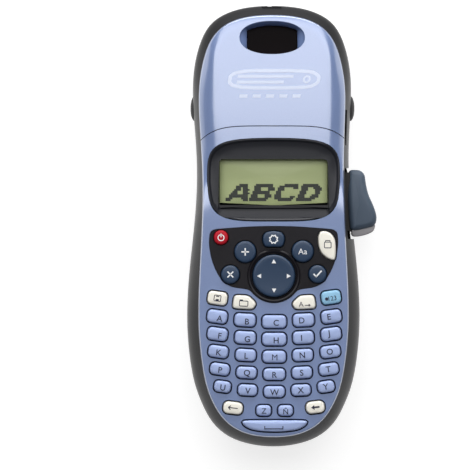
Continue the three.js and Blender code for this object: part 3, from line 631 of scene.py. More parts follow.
def bezel_line(extra, n=128):
    """Rounded television shape: a power curve, slightly narrower towards the bottom."""
    t = np.linspace(0, 2 * np.pi, n, endpoint=False)
    c, s = np.cos(t), np.sin(t)
    r = (np.abs(c) ** 4.2 + np.abs(s) ** 4.2) ** (-1 / 4.2)
    squeeze = 1 - 0.05 * np.maximum(0, -s * r)
    arch = 1.1 * np.maximum(0, s) ** 3
    return np.stack([(29.9 + extra) * r * c * squeeze, 20.4 + (18.2 + extra) * r * s + arch], -1)


front = shape("front_shell", front_shell(WALL), PEARL)
carve(front, seam_region(-0.2, False), "INTERSECT")
carve(front, slab(inset(PANEL, -0.15), FACE_Z - 0.95, FACE_Z + 4))
hole_edge = [slab(inset(k["line"], -0.6), 34, FACE_Z + 5) for k in keys.values()]
carve(front, merged(hole_edge))
carve(front, slab(bezel_line(0.15), 34, FACE_Z + 5))
piece("front_shell", front, PEARL, "housing", ["front_housing"])
print("front housing faces:", len(front.data.polygons))

# %% [markdown]
# ## Tape door
# The door carries an oval recess with a straight-sided opening at its bottom. The recess is cut square to the
# sloping skin, so its upper wall shows from the front. A thick block is first joined under the skin so that
# the recess has walls.

# %% Door with its recess
TILT = math.atan(2 * SAG * 85 / 96**2) + math.radians(3)
RECESS = np.array([-0.6, 85.1, FACE_Z - float(sag(np.array(85.1)))])


def on_lid(part):
    """Lay a part made round the origin onto the skin at the recess, leaning with it."""
    points, faces = part
    c, s = math.cos(-TILT), math.sin(-TILT)
    turned = points @ np.array([[1, 0, 0], [0, c, s], [0, -s, c]])
    return turned + RECESS, faces


def oval(extra, n=96):
    """An ellipse with slightly fuller ends."""
    t = np.linspace(0, 2 * np.pi, n, endpoint=False)
    c, s = np.cos(t), np.sin(t)
    r = (np.abs(c) ** 2.2 + np.abs(s) ** 2.2) ** (-1 / 2.2)
    return np.stack([(14.7 + extra) * r * c, (7.6 + extra) * r * s], -1)


OPENING = np.stack([np.clip(oval(-0.2)[:, 0], -11.4, 11.4), oval(-0.2)[:, 1] * 0.97 - 0.1], -1)

door = shape("tape_door_skin", front_shell(2.0), PEARL)
carve(door, seam_region(0.2, True), "INTERSECT")
block = shape("block", front_shell(2.0, solid=True))
carve(block, on_lid(slab(oval(1.6), -7.4, 3)), "INTERSECT")
block_part = parts_of(block.data)
bpy.data.objects.remove(block)
carve(door, block_part, "UNION")
bowl = stack([level(OPENING, -9), level(OPENING, -3.6), level(OPENING * 0.9 + oval(0) * 0.1, -3.0),
              level(OPENING * 0.4 + oval(0) * 0.6, -1.6), level(oval(-0.1), -0.35),
              level(oval(0.15), 0.1), level(oval(0.5), 0.8), level(oval(0.5), 4)])
carve(door, on_lid(bowl))
piece("tape_door_skin", door, PEARL, "tape_door", ["tape_door"])
pane = stack([level(OPENING * 0.98, -7.2), level(OPENING * 0.98, -6.0)])
piece("viewing_pane", on_lid(pane), SMOKE, "tape_door")
print("door faces:", len(door.data.polygons))

# %% [markdown]
# ## Rear housing
# The tray swells outwards from the flat back to its widest line and leans in again under the blue edge. Its
# wall is the same section moved inwards. The pocket for the lever, the battery opening and the label slot are
# cut afterwards.

# %% Tray
def tray_line(z, less=0.0):
    """The outline at height z: a quarter round below the widest line, leaning in to the face above it."""
    if z <= BULGE_Z:
        t = (BULGE_Z - z) / BULGE_Z
        return inset(OUTER, 13.0 * (1 - math.sqrt(max(0.0, 1 - t * t))) + less)
    s = min(1.0, (z - BULGE_Z) / (RIM_Z - BULGE_Z))
    mixing = 1 - math.cos(math.pi / 2 * s)
    return inset(OUTER + (FACE - OUTER) * mixing, less)


def tray_ring(z, less=0.0):
    """Above the widest line the ring follows the sag of the front in proportion."""
    line = tray_line(z, less)
    part = min(1.0, max(0.0, (z - BULGE_Z) / (RIM_Z - BULGE_Z)))
    return level(line, z - sag(line[:, 1]) * part)


up_levels = [0.0, 0.12, 0.45, 1.0, 1.9, 3.2, 5, 7.5, 10.5, 14, 18, 22, 24, 27, 30, 33, 35.5, 37.4, 38.2, 38.5]
down_levels = [38.5, 37, 33, 28, 24, 18, 12, 7.5, 4.5, 3.0, 2.4, WALL]
outside = [tray_ring(z) for z in up_levels]
inside = [tray_ring(z, WALL) for z in down_levels]
tray_part = stack(outside + inside)
DOOR_HALF, DOOR_TOP, BATTERY_Z = 25.5, -20.0, 5.2


def door_box(less, z0, z1):
    """The space of the battery door, narrower by `less` on the three sides it meets."""
    return box((less - DOOR_HALF, DOOR_HALF - less), (-130, DOOR_TOP - less), (z0, z1))


tray = shape("rear_tray", tray_part, TRAY)
carve(tray, door_box(0, -1, BATTERY_Z))
LEVER_POCKET = box((26, 60), (-5.8, 26.3), (13.6, 36.2))
LABEL_SLOT = box((-2.75, -0.75), (80, 110), (13, 26))
WEDGE = np.array([(32.4, 36.5), (33.6, 36.5), (36.0, 45), (36.5, 52.8), (31.8, 52.5)])
BLADE_ROOM = box((18.9, 22.7), (83.4, 89.2), (6.9, 31.2))
for cutter_part in (LEVER_POCKET, LABEL_SLOT, slab(WEDGE, 33.2, 41), BLADE_ROOM):
    carve(tray, cutter_part)
piece("rear_tray", tray, TRAY, "housing", ["rear_housing"])

battery_lid = shape("battery_lid", tray_part, TRAY)
carve(battery_lid, door_box(GAP, GAP, BATTERY_Z - GAP), "INTERSECT")
grooves = [slab(rounded_box(22 - 1.2 * k, 1.3, 0.6) + [0, -30 - 2.6 * k], -1, 0.75) for k in range(6)]
carve(battery_lid, merged(grooves))
piece("battery_lid", battery_lid, TRAY, "battery_door", ["battery_door"])
print("tray faces:", len(tray.data.polygons), "battery door faces:", len(battery_lid.data.polygons))

# %% [markdown]
# ## Black inlay
# A thin plate with softened edges that fills its pocket. A raised ring grows out of it round the arrow pad.

# %% Inlay
holes = [slab(inset(k["line"], -0.35), 30, 60) for k in keys.values() if k["rise"] > 1.3]
plate = stack([level(PANEL, FACE_Z - 0.8), level(PANEL, FACE_Z - 0.15), level(inset(PANEL, 0.12), FACE_Z)])
inlay = shape("black_inlay", plate, INLAY)
ring_profile = [(12.1, -0.6), (12.0, 0.1), (11.8, 0.5), (11.4, 0.72), (10.9, 0.66), (10.2, 0.1), (9.9, -0.6)]
angle = np.linspace(0, 2 * np.pi, 97)[:-1]
ring = [np.stack([NAV[0] + r * np.cos(angle), NAV[1] + r * np.sin(angle), np.full(96, FACE_Z + z)], -1)
        for r, z in ring_profile]
carve(inlay, stack(ring, loop=True), "UNION")
carve(inlay, merged(holes))
piece("black_inlay", inlay, INLAY, "housing", ["control_panel"])
print("inlay faces:", len(inlay.data.polygons))

# %% [markdown]
# ## Display
# The frame dips from its rim to the window, with a wider sloping ledge below it. Behind the clear cover lies
# the yellow-green film, and the writing on it is made of square dots.

# %% Frame of the display
def window_line(w, h, dy=0.0, r=1.0):
    """A rounded box about the middle of the window."""
    return rounded_box(w, h, r) + [0, 19.7 + dy]


def framed(extra, z, follow=1.0):
    """One ring of the frame; its rim follows the falling shoulders and its inside stays level."""
    line = bezel_line(extra)
    rim = skin_at(bezel_line(-0.3))
    return level(line, z + follow * rim + (1 - follow) * (FACE_Z - sag(line[:, 1])))


FRAME_PROFILE = [(0, -4.9, 0), (0, -0.35, 1), (-0.2, -0.05, 1), (-0.55, 0.0, 1), (-0.95, -0.25, 1),
                 (-1.5, -0.95, 0.9), (-2.8, -1.3, 0.55), (-4.2, -1.5, 0.2), (-6, -1.6, 0)]
frame_part = stack([framed(*step) for step in FRAME_PROFILE])
bezel = shape("display_frame", frame_part, BEZEL)
slope = stack([level(even(window_line(48.4, 20.6), 80), FACE_Z - 3.6),
               level(even(window_line(50.2, 26.6, -2.4), 80), FACE_Z - 1.3),
               level(even(window_line(50.8, 27.4, -2.5), 80), FACE_Z + 1.0)])
carve(bezel, slope)
carve(bezel, slab(window_line(48.4, 20.6), 30, FACE_Z + 2))
carve(bezel, slab(window_line(51.4, 23.6), 30, FACE_Z - 3.5))
piece("display_frame", bezel, BEZEL, "housing", ["display_bezel"])

print("display frame faces:", len(bezel.data.polygons))

# %% [markdown]
# The cover and the film are flat panes with a narrow chamfer. The four capitals are drawn row by row with a
# hash for every dark dot, and each row moves a little to the side, which makes them lean.

# %% Cover, film and dots
def pane_stack(steps):
    """A flat pane from (width, height, depth below the keypad plane) steps."""
    return stack([level(even(window_line(w, h), 64), FACE_Z - depth) for w, h, depth in steps])


cover = pane_stack([(50.8, 23.0, 4.9), (50.8, 23.0, 3.8), (50.5, 22.7, 3.65)])
piece("display_cover", cover, GLASS, "housing", ["display_window"])
film = pane_stack([(51.4, 25.6, 7.5), (51.4, 25.6, 6.2), (51.0, 25.2, 6.1)])
piece("display_film", film, FILM, "housing", ["lcd_module"])

GLYPHS = {
    "A": ["....####....", "...######...", "...##..##...", "..###..###..", "..##....##..", ".###....###.",
          ".##########.", ".##########.", "###......###", "##........##"],
    "B": ["#########...", "##########..", "###.....###.", "###.....###.", "#########...", "#########...",
          "###.....###.", "###.....###.", "##########..", "#########..."],
    "C": ["...#######..", ".##########.", "###......##.", "###.........", "##..........", "##..........",
          "###.........", "###......##.", ".##########.", "...#######.."],
    "D": ["########....", "##########..", "###....####.", "###.....###.", "###......##.", "###......##.",
          "###.....###.", "###....####.", "##########..", "########...."],
}
DOT = 0.78
spots = []
for place, letter in enumerate("ABCD"):
    rows = GLYPHS[letter]
    for line, text in enumerate(rows):
        for column, mark in enumerate(text):
            if mark == "#":
                x = column + 13.6 * place + round(0.42 * (9 - line))
                spots += [(x, -line), (x + 1, -line)]
spots = np.unique(np.array(spots), axis=0) * DOT + [-21.3, 18.7]
corner = np.array([(-0.5, -0.5), (0.5, -0.5), (0.5, 0.5), (-0.5, 0.5)]) * DOT
dots = merged([slab(corner + s, FACE_Z - 6.1, FACE_Z - 6.02) for s in spots])
piece("display_dots", dots, DOTS, "housing")
gasket = np.array([(-25.6, 10.6), (-25.6, 7.9), (-24.2, 8.3), (24.2, 8.3), (25.6, 7.9), (25.6, 10.6),
                   (24.5, 10.6), (24.3, 9.5), (-24.3, 9.5), (-24.5, 10.6)])
piece("display_gasket", slab(gasket, FACE_Z - 3.4, FACE_Z - 2.1), RUBBER, "housing")
print("display dots:", len(spots))

# %% [markdown]
# ## Keys
# A key is a cap on a straight skirt with a flange below. The profile runs up the skirt, round a soft shoulder
# and over a slightly crowned top, and is carried round the key's outline.

# %% Key caps
def cap(line, top, crown=0.12):
    """Flange, skirt, rounded shoulder, then rings that shrink to the middle of a crowned top."""
    middle = line.mean(0)
    profile = [(0.2, 42.55), (0.2, 43.1), (-0.1, 43.2), (-0.1, top - 0.75), (-0.16, top - 0.45),
               (-0.34, top - 0.2), (-0.62, top - 0.06), (-0.95, top)]
    rings = [level(inset(line, -d), z) for d, z in profile]
    inner = inset(line, 0.95)
    for s in (0.85, 0.6, 0.3):
        rings.append(level(middle + (inner - middle) * s, top + crown * (1 - s * s)))
    return stack(rings)


for name, k in keys.items():
    crown = 0.12 if name != "key_arrows" else -0.25
    part = cap(k["line"], FACE_Z + k["rise"], crown)
    piece("cap_" + name[4:], part, k["mat"], name, [name], smooth=50)
print("caps:", len(keys))

# %% [markdown]
# ## Legends
# Letters come from Blender's own font and are turned into thin raised ink. The other keys carry plain signs
# in place of words: a plus, a cross, a tick, a disc, a folder.

# %% Letters and signs
INK = 0.05


def letter_part(text, size, bold=0.0):
    """A text curve as points and faces in millimetres, its middle at the origin."""
    curve = bpy.data.curves.new("text", "FONT")
    curve.body = text
    curve.size = size * MM
    curve.offset = bold * MM
    curve.extrude = INK * MM
    curve.resolution_u = 4
    holder = bpy.data.objects.new("text", curve)
    bpy.context.scene.collection.objects.link(holder)
    bpy.context.view_layer.update()
    mesh = bpy.data.meshes.new_from_object(holder.evaluated_get(bpy.context.evaluated_depsgraph_get()))
    points, faces = parts_of(mesh)
    points[:, :2] -= (points[:, :2].min(0) + points[:, :2].max(0)) / 2
    bpy.data.objects.remove(holder)
    bpy.data.curves.remove(curve)
    bpy.data.meshes.remove(mesh)
    return points, faces


def bar(x0, y0, x1, y1, width):
    """A straight stroke between two points."""
    a, b = np.array((x0, y0), float), np.array((x1, y1), float)
    along = (b - a) / np.hypot(*(b - a))
    side = np.array([-along[1], along[0]]) * width / 2
    return slab(np.array([a - side, b - side, b + side, a + side]), -INK, INK)


def loop_stroke(outline, width):
    """A closed stroke of even width along an outline."""
    o, i = inset(outline, -width / 2), inset(outline, width / 2)
    return stack([level(o, -INK), level(o, INK), level(i, INK), level(i, -INK)][::-1], loop=True)


def sign(corners):
    """A filled shape of thin ink."""
    return slab(np.array(corners, float), -INK, INK)


def tag(name, part, at, turn, top, material, body):
    """Put a legend on its key and let it ride with it."""
    points, faces = part
    c, s = math.cos(math.radians(turn)), math.sin(math.radians(turn))
    flat = points[:, :2] @ np.array([[c, s], [-s, c]]) + at
    return piece(name, (np.column_stack([flat, points[:, 2] + top]), faces), material, body, smooth=20)


SHIFT = {0: (1.05, -0.9), 1: (0.95, -0.8), 2: (0.85, -0.6), 3: (-0.8, -0.2), 4: (-1.0, -0.1)}
for r, row in enumerate(["abcde", "fghij", "klmno", "pqrst", "uvwxy"]):
    for c, letter in enumerate(row):
        k = keys["key_" + letter]
        near = [1.0, 1.0, 0.25, 0.2, 0.15][r]
        dx, dy = SHIFT[c][0] * near, SHIFT[c][1] * (0.9 if r < 2 else 0.45)
        at = np.array(k["at"]) + (dx, dy)
        bold = 0.0 if letter == "m" else 0.04
        tag("legend_" + letter, letter_part(letter.upper(), 3.75, bold), at, k["turn"],
            FACE_Z + k["rise"] + 0.09, INK_DARK, "key_" + letter)
for name, text in {"key_z": "Z", "key_n_tilde": "Ñ"}.items():
    k = keys[name]
    tag("legend_" + name[4:], letter_part(text, 3.4, 0.025), np.array(k["at"]) + (0.1, -0.2), 0,
        FACE_Z + k["rise"] + 0.1, INK_DARK, name)

# %% [markdown]
# A sign is a few strokes, closed loops and filled shapes joined into one part. A table lists them by key, and
# a second one says how far the sign sits from the middle of its key.

# %% Signs on the other keys
gear = [(2.0 * (1.0 if k % 2 else 0.72)) * np.array([math.cos(k * math.pi / 8), math.sin(k * math.pi / 8)])
        for k in range(16)]
page = rounded_box(3.0, 2.6, 0.3)
SIGNS = {
    "power": (INK_WHITE, [loop_stroke(disc(1.35, 32), 0.42), bar(0, 0.2, 0, 1.9, 0.42)]),
    "insert": (INK_WHITE, [bar(-1.7, 0, 1.7, 0, 0.6), bar(0, -1.7, 0, 1.7, 0.6)]),
    "settings": (INK_WHITE, [loop_stroke(even(np.array(gear), 48), 0.5)]),
    "format": (INK_WHITE, [letter_part("Aa", 3.7)]),
    "cancel": (INK_WHITE, [bar(-1.3, -1.3, 1.3, 1.3, 0.6), bar(-1.3, 1.3, 1.3, -1.3, 0.6)]),
    "ok": (INK_WHITE, [bar(-1.8, 0.1, -0.5, -1.3, 0.65), bar(-0.75, -1.3, 1.8, 1.5, 0.65)]),
    "print": (INK_DARK, [loop_stroke(even(page, 40), 0.35), bar(-1.1, 2.0, 1.1, 2.0, 0.35),
                         bar(-1.0, 1.3, -1.0, 2.0, 0.3), bar(1.0, 1.3, 1.0, 2.0, 0.3)]),
    "save": (INK_DARK, [loop_stroke(even(page, 40), 0.32), bar(-0.7, -0.8, 0.7, -0.8, 0.7),
                        bar(-0.7, 0.8, 0.7, 0.8, 0.4)]),
    "open": (INK_DARK, [loop_stroke(even(rounded_box(3.8, 2.3, 0.3), 40), 0.32),
                        bar(-1.9, 1.5, -0.4, 1.5, 0.5)]),
    "caps": (INK_DARK, [letter_part("A", 3.2), bar(1.7, -0.6, 3.6, -0.6, 0.3),
                        sign([(3.4, -1.2), (4.3, -0.6), (3.4, 0)])]),
    "number": (INK_DARK, [slab(disc(0.75, 24) + [-2.6, 0], -INK, INK), letter_part("123", 2.9)]),
    "clear": (INK_DARK, [bar(-2.1, 0, 2.1, 0, 0.4), bar(-2.1, 0, -1.1, 0.9, 0.4),
                         bar(-2.1, 0, -1.1, -0.9, 0.4)]),
    "backspace": (INK_DARK, [sign([(-1.9, 0), (-0.4, -1.1), (-0.4, 1.1)]), bar(-0.5, 0, 1.9, 0, 0.75)]),
    "space": (INK_DARK, [bar(-4.3, -0.7, 4.3, -0.7, 0.4), bar(-4.1, -0.7, -4.1, 0.5, 0.4),
                         bar(4.1, -0.7, 4.1, 0.5, 0.4)]),
}
OFFSET = {"caps": (-1.2, -0.9), "open": (-0.4, -0.6), "number": (0.6, -0.4), "space": (-0.4, -0.4),
          "power": (0, -0.1), "print": (0.8, 0.2)}
for name, (ink, parts) in SIGNS.items():
    k = keys["key_" + name]
    at = np.array(k["at"]) + OFFSET.get(name, (0, 0))
    tag("sign_" + name, merged(parts), at, k["turn"], FACE_Z + k["rise"] + 0.1, ink, "key_" + name)
arrow = np.array([(-1.0, -0.75), (1.0, -0.75), (0, 1.05)])
ARROWS = {"up": (0, (0, 6.4)), "left": (90, (-6.5, -0.1)), "down": (180, (0.1, -6.5)),
          "right": (-90, (6.6, -0.1))}
for name, (turn, at) in ARROWS.items():
    tag("arrow_" + name, sign(arrow), np.array(NAV) + at, turn, FACE_Z + 2.1 - 0.02, INK_WHITE, "key_arrows")

# %% [markdown]
# ## Mark on the door
# The door carries a plain tag outline with two lines and an eyelet, and a row of dashes below it, in pale
# ink. The mark follows the slope of the door.

# %% Plain tag
def on_skin(part):
    """Drape a flat legend over the sloping skin."""
    points, faces = part
    z = FACE_Z - sag(points[:, 1]) + points[:, 2]
    return np.column_stack([points[:, :2], z]), faces


tag_line = cut_corners([(-19.5, -3.9), (16, -3.9), (20.6, -1.6), (20.6, 1.6), (16, 3.9), (-19.5, 3.9)], 2)
mark = [loop_stroke(even(tag_line, 120), 1.5), loop_stroke(disc(1.35, 32) + [15.2, 0], 0.9)]
for k, reach in enumerate([9, 5]):
    mark.append(bar(-16.2, 1.3 - 2.6 * k, reach, 1.3 - 2.6 * k, 1.3))
for k in range(5):
    mark.append(bar(-14 + 6 * k, -7.6, -10.4 + 6 * k, -7.6, 1.5))
points, faces = merged(mark)
points[:, 0] += 0.16 * points[:, 1]
points[:, :2] += [-0.2, 66.3]
piece("door_mark", on_skin((points, faces)), INK_PEARL, "tape_door", smooth=20)
print("strokes in the mark:", len(mark))

# %% [markdown]
# ## Cutter lever
# Outside it is a soft-coated paddle that swells towards the thumb end, with a lighter lip below. Inside, a
# flat arm runs up to the blade. The paddle is one outline stacked through its thickness, with rounded edges.

# %% Paddle, lip and arm
PADDLE = even(cut_corners([(34.8, -2.6), (45.0, -0.4), (46.5, 1.6), (46.7, 4.8), (45.2, 9.4), (43.0, 14.0),
                           (41.9, 18.6), (41.3, 23.6), (39.0, 25.5), (33.5, 25.5), (33.5, 12), (34.2, 2)], 2),
              96)
LIP_LINE = even(cut_corners([(35.4, -4.7), (38.4, -4.8), (42.2, -3.9), (45.3, -2.4), (46.3, 0.6), (44.6, 0.9),
                             (35.2, -1.0)], 2), 64)
ARM = np.array([(30.9, 6), (35.4, 2), (34.4, 22), (30.4, 27.2), (30.6, 48), (31.4, 54), (31.2, 61),
                (27.6, 70), (22.4, 82), (20.6, 86), (19.4, 86.9), (15.4, 87.2), (16, 81), (24, 68),
                (25.2, 58), (27.2, 50), (27.4, 24)])
WEB = np.array([(31.4, -1.5), (35.4, -2.6), (35.6, 2), (34.9, 12), (34.6, 24.3), (31.4, 24.3)])


def puffed(outline, z0, z1, round_off, bulge=0.0):
    """The outline stacked from z0 to z1, drawn in at both ends by a quarter round; the thumb end droops."""
    t = np.linspace(0, np.pi / 2, 7)
    low = [(round_off * (1 - np.sin(a)), z0 + round_off * (1 - np.cos(a))) for a in t]
    high = [(d, z1 - (z - z0)) for d, z in low[::-1]]
    rings = []
    for d, z in low + high:
        line = inset(outline, d)
        droop = bulge * np.clip((line[:, 1] - 6) / 19, 0, 1) ** 2 if z > (z0 + z1) / 2 else 0
        rings.append(level(line, z - droop))
    return stack(rings)


def bevelled(outline, z0, z1, bevel=0.3):
    """A prism with a narrow bevel round both ends."""
    small = inset(outline, bevel)
    return stack([level(small, z0), level(outline, z0 + bevel), level(outline, z1 - bevel), level(small, z1)])


paddle = puffed(PADDLE, 14.6, 35.3, 2.6, 3.4)
piece("lever_paddle", paddle, SOFT, "cutter_lever", ["cutter_lever"], smooth=60)
piece("lever_lip", puffed(LIP_LINE, 15.4, 33.4, 0.7), LIP, "cutter_lever", smooth=60)
arm = shape("lever_arm", bevelled(ARM, 26.4, 30.2), GREY)
carve(arm, slab(disc(2.1, 32) + [28.4, 58], 20, 40))
carve(arm, box((17.0, 19.4), (82.4, 86), (20, 40)))
piece("lever_arm", arm, GREY, "cutter_lever")
piece("lever_web", bevelled(WEB, 18.5, 33), RUBBER, "cutter_lever")

# %% [markdown]
# ## Small outside parts
# Two oval grip pads, the surround of the label slot, the screws in the back and the rubber feet are small,
# but the eye looks for them.

# %% Pads, exit surround, screws
def pad(side):
    """A low oval cushion on the flank: rings of an ellipse that shrink over a quarter round."""
    t = np.linspace(0, np.pi / 2, 9)[:-1]
    a = np.linspace(0, 2 * np.pi, 64, endpoint=False)
    rings = []
    for s in t:
        x = 35.3 - 0.4 * side + 1.9 * math.sin(s)
        y = 53.4 + 5.7 * math.cos(s) * np.cos(a)
        z = 20.5 + 6.4 * math.cos(s) * np.sin(a)
        rings.append(np.stack([np.full(64, x), y, z], -1))
    rings.insert(0, rings[0] - [1.2, 0, 0])
    rings = np.array(rings)
    if side < 0:
        rings = (rings * [-1, 1, 1])[:, ::-1]
    return stack(rings)


piece("grip_pad_right", pad(1), RUBBER, "housing", smooth=60)
piece("grip_pad_left", pad(-1), RUBBER, "housing", smooth=60)
surround_line = rounded_box(9.5, 14.2, 1.2)
slot_line = rounded_box(2.2, 13.4, 0.9) - [1.05, 0]
steps = [(surround_line, 97.9), (surround_line, 99.45), (surround_line * 0.98, 99.55), (slot_line, 99.55),
         (slot_line, 97.9)]
surround = [np.stack([line[:, 0] - 0.7, np.full(len(line), y), 19.5 + line[:, 1]], -1) for line, y in steps]
piece("label_exit", stack(surround[::-1], loop=True), TRAY, "housing", smooth=40)


def screw(x, y, z, up):
    """A pan head, sunk level with the back."""
    r = [(0.01, 0.0), (2.4, 0.0), (2.4, 0.5), (2.1, 0.8), (0.01, 0.85)]
    a = np.linspace(0, 2 * np.pi, 33)[:-1]
    rings = [np.stack([x + d * np.cos(a), y + d * np.sin(a), np.full(32, z + up * h)], -1) for d, h in r]
    return stack(rings if up > 0 else [q[::-1] for q in rings])


for number, (x, y) in enumerate([(-20, 40), (20, 40), (-20, 8), (20, 8)]):
    carve(tray, slab(disc(3.1, 32) + [x, y], -1, 1.2))
    piece(f"screw_{number + 1}", screw(x, y, 1.15, -1), STEEL, "housing", smooth=30)
feet = [rounded_box(16, 5, 2.4) + [0, 72], rounded_box(4, 12, 1.9) + [-22, -4],
        rounded_box(4, 12, 1.9) + [22, -4]]
for number, foot in enumerate(feet):
    line = even(foot, 48)
    part = stack([level(inset(line, 0.3), 0.0), level(line, 0.25), level(line, 1.0)])
    piece(f"foot_{number + 1}", part, RUBBER, "housing")

# %% [markdown]
# ## Under the keys
# A rubber mat with one dome per key lies on the circuit board. Only a dark glimpse of it shows round the
# keys, and it is what closes the gaps. Its near-black navy is partly painted shade: it stands in for the
# shade deep in the gaps round the keys.

# %% Mat, board and chips
inner_face = inset(FACE, 3.0)
mat_line = even(inner_face[inner_face[:, 1] < 0], 160)
DOME = [(0.9, 39.2), (0.86, 39.9), (0.7, 40.7), (0.6, 40.9)]  # share of the key's size, and height
domes = [slab(mat_line, 38.35, 39.4)]
for k in keys.values():
    line = k["line"]
    middle = line.mean(0)
    domes.append(stack([level(middle + (line - middle) * s, z) for s, z in DOME]))
piece("key_mat", merged(domes), MAT_AND_GAP_SHADE, "housing")
nodes = frame["nodes"]


def dress(node, material):
    """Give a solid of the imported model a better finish."""
    for slot in nodes[node].material_slots:
        slot.material = material


dress("main_board", BOARD)
chips = [(0, -6, 14, 14, 2.4), (-16, 4, 9, 6, 1.6), (16, -16, 7, 7, 1.6), (-12, -30, 10, 5, 1.5),
         (12, -44, 6, 4, 1.2), (-8, -58, 8, 5, 1.4), (18, 20, 6, 12, 1.8)]
parts = []
for x, y, w, h, t in chips:
    small, full = (rounded_box(w - d, h - d, 0.4) + [x, y] for d in (0.4, 0))
    parts.append(stack([level(small, 36.55 - t), level(full, 36.75 - t), level(full, 36.6)]))
piece("board_chips", merged(parts), CHIP, "housing")
print("domes:", len(domes) - 1, "chips:", len(chips))

# %% [markdown]
# ## Cells and contacts
# Four cells lie side by side, heads alternating, between sprung contacts. Each cell is a profile turned about
# its axis: flat base, sleeve with a coloured band, shoulder and button.

# %% Four cells and their springs
CELL_LENGTH, CELL_START = 50.5, -73.9
CELL_Z = WALL + GAP + 0.4 + 7.25
CELL_PLACES = [-21.6, -7.2, 7.2, 21.6]
CELL_PROFILE = [(0.1, 0), (6.2, 0), (7.05, 0.35), (7.15, 1.0), (7.15, 34), (7.15, 48.6), (6.9, 49.2),
                (2.9, 49.2), (2.7, 50.3), (2.2, 50.5), (0.1, 50.5)]
BAND_PROFILE = [(7.16, 33), (7.19, 33.1), (7.19, 47.8), (7.16, 48), (6.9, 48), (6.9, 33)]


def turned(profile, x, flip, loop=False, n=48):
    """A profile of (radius, length) turned about the axis of a cell; a flipped cell points the other way."""
    a = np.linspace(0, 2 * np.pi, n, endpoint=False)
    rings = []
    for r, l in profile:
        y = CELL_START + (CELL_LENGTH - l if flip else l)
        rings.append(np.stack([x + r * np.cos(a), np.full(n, y), CELL_Z + r * np.sin(a)], -1))
    rings = np.array(rings)
    return stack(rings if flip else rings[:, ::-1], loop)


for number, slot_x in enumerate(CELL_PLACES):
    flip = number % 2 == 1
    body = turned(CELL_PROFILE, slot_x, flip)
    node = ["battery_cells"] if number == 0 else ()
    piece(f"cell_{number + 1}", body, CELL_SLEEVE, "housing", node)
    band = turned(BAND_PROFILE, slot_x, flip, loop=True)
    piece(f"cell_band_{number + 1}", band, CELL_BAND, "housing")


def coil(x, y0, y1, z, radius, wire=0.35, turns=4, n=96, m=8):
    """A round wire carried along a helix about Y, closed at both ends."""
    t = np.linspace(0, 1, n)
    a = 2 * np.pi * turns * t
    grow = radius * (0.55 + 0.45 * (1 - t))
    path = np.stack([x + grow * np.cos(a), y0 + (y1 - y0) * t, z + grow * np.sin(a)], -1)
    tangent = np.gradient(path, axis=0)
    tangent /= np.linalg.norm(tangent, axis=1, keepdims=True)
    out = np.stack([np.cos(a), np.zeros(n), np.sin(a)], -1)
    side = np.cross(tangent, out)
    side /= np.linalg.norm(side, axis=1, keepdims=True)
    normal = np.cross(side, tangent)
    b = np.linspace(0, 2 * np.pi, m, endpoint=False)
    b = b[None, :, None]
    rings = path[:, None] + wire * (np.cos(b) * normal[:, None] + np.sin(b) * side[:, None])
    return stack(rings)


for number, slot_x in enumerate(CELL_PLACES):
    start, end = (-21.6, -23.3) if number % 2 == 1 else (-76.2, -74.0)
    spring = coil(slot_x, start, end, CELL_Z, 4.2)
    piece(f"contact_spring_{number + 1}", spring, BRASS, "housing", smooth=60)
print("cells:", len(CELL_PLACES))

# %% [markdown]
# ## Print unit and cassette
# Under the door sit the cassette with its spool, the head, the rubber roller with its gear and the motor.
# They show when the door is open, so each gets its own finish and the details that make it readable.

# %% Roller, gears, motor, head
ROLLER = (-6.0, 77.6)
WHEEL_TEETH, PINION_TEETH = 22, 9


def spun(profile, x, y, loop=False, n=64):
    """A profile of (radius, height) turned about an upright axis."""
    b = np.linspace(0, 2 * np.pi, n, endpoint=False)
    rings = [np.stack([x + r * np.cos(b), y + r * np.sin(b), np.full(n, z)], -1) for r, z in profile]
    return stack(rings, loop)


def toothed(x, y, teeth, phase, z0, z1):
    """A gear: tooth flanks from root to tip repeated round a circle, with chamfered faces."""
    k = np.arange(teeth)[:, None]
    at = np.array([-0.27, -0.2, -0.12, 0.12, 0.2, 0.27])
    out = np.array([-1.15, -0.1, 0.72, 0.72, -0.1, -1.15])
    ang = (2 * np.pi * (k + at + phase) / teeth).ravel()
    r = np.tile(teeth / 2 + out, teeth)
    rings = []
    for shrink, z in [(0.25, z0), (0, z0 + 0.25), (0, z1 - 0.25), (0.25, z1)]:
        line = np.stack([x + (r - shrink) * np.cos(ang), y + (r - shrink) * np.sin(ang)], -1)
        rings.append(level(line, z))
    return stack(rings)


lean = math.radians(-14)
centres = (WHEEL_TEETH + PINION_TEETH) / 2 + 0.3
MOTOR = (ROLLER[0] + centres * math.cos(lean), ROLLER[1] + centres * math.sin(lean))
rubber = spun([(3.6, 12.4), (4.0, 12.8), (4.0, 25.6), (3.6, 26.0)], *ROLLER)
piece("roller_rubber", rubber, RUBBER, "platen", ["platen_roller"])
shaft = spun([(1.1, 3.2), (1.4, 3.5), (1.4, 28.3), (1.1, 28.6)], *ROLLER)
piece("roller_shaft", shaft, STEEL, "platen")
wheel = toothed(*ROLLER, WHEEL_TEETH, lean / (2 * math.pi) * WHEEL_TEETH, 3.2, 6.2)
piece("roller_gear", wheel, ACETAL, "platen")
pinion = toothed(*MOTOR, PINION_TEETH, (lean + math.pi) / (2 * math.pi) * PINION_TEETH + 0.5, 3.0, 6.6)
piece("pinion", pinion, BRASS, "pinion", ["motor_pinion"])
can = spun([(5.6, 7.2), (6.3, 7.8), (6.3, 22.6), (5.9, 23.4), (2.2, 23.6), (2.0, 24.0), (0.1, 24.0)], *MOTOR)
piece("motor_can", can, STEEL, "housing", ["drive_motor"])
dress("print_head", ALUMINIUM)
dress("cutter_blade", STEEL)

print("motor axis at", [round(v, 2) for v in MOTOR])

# %% [markdown]
# The cassette keeps its solid and only gets a finish, with a printed label on top that leaves the spool hole
# free. The strip of tape runs from the roller to the label slot.

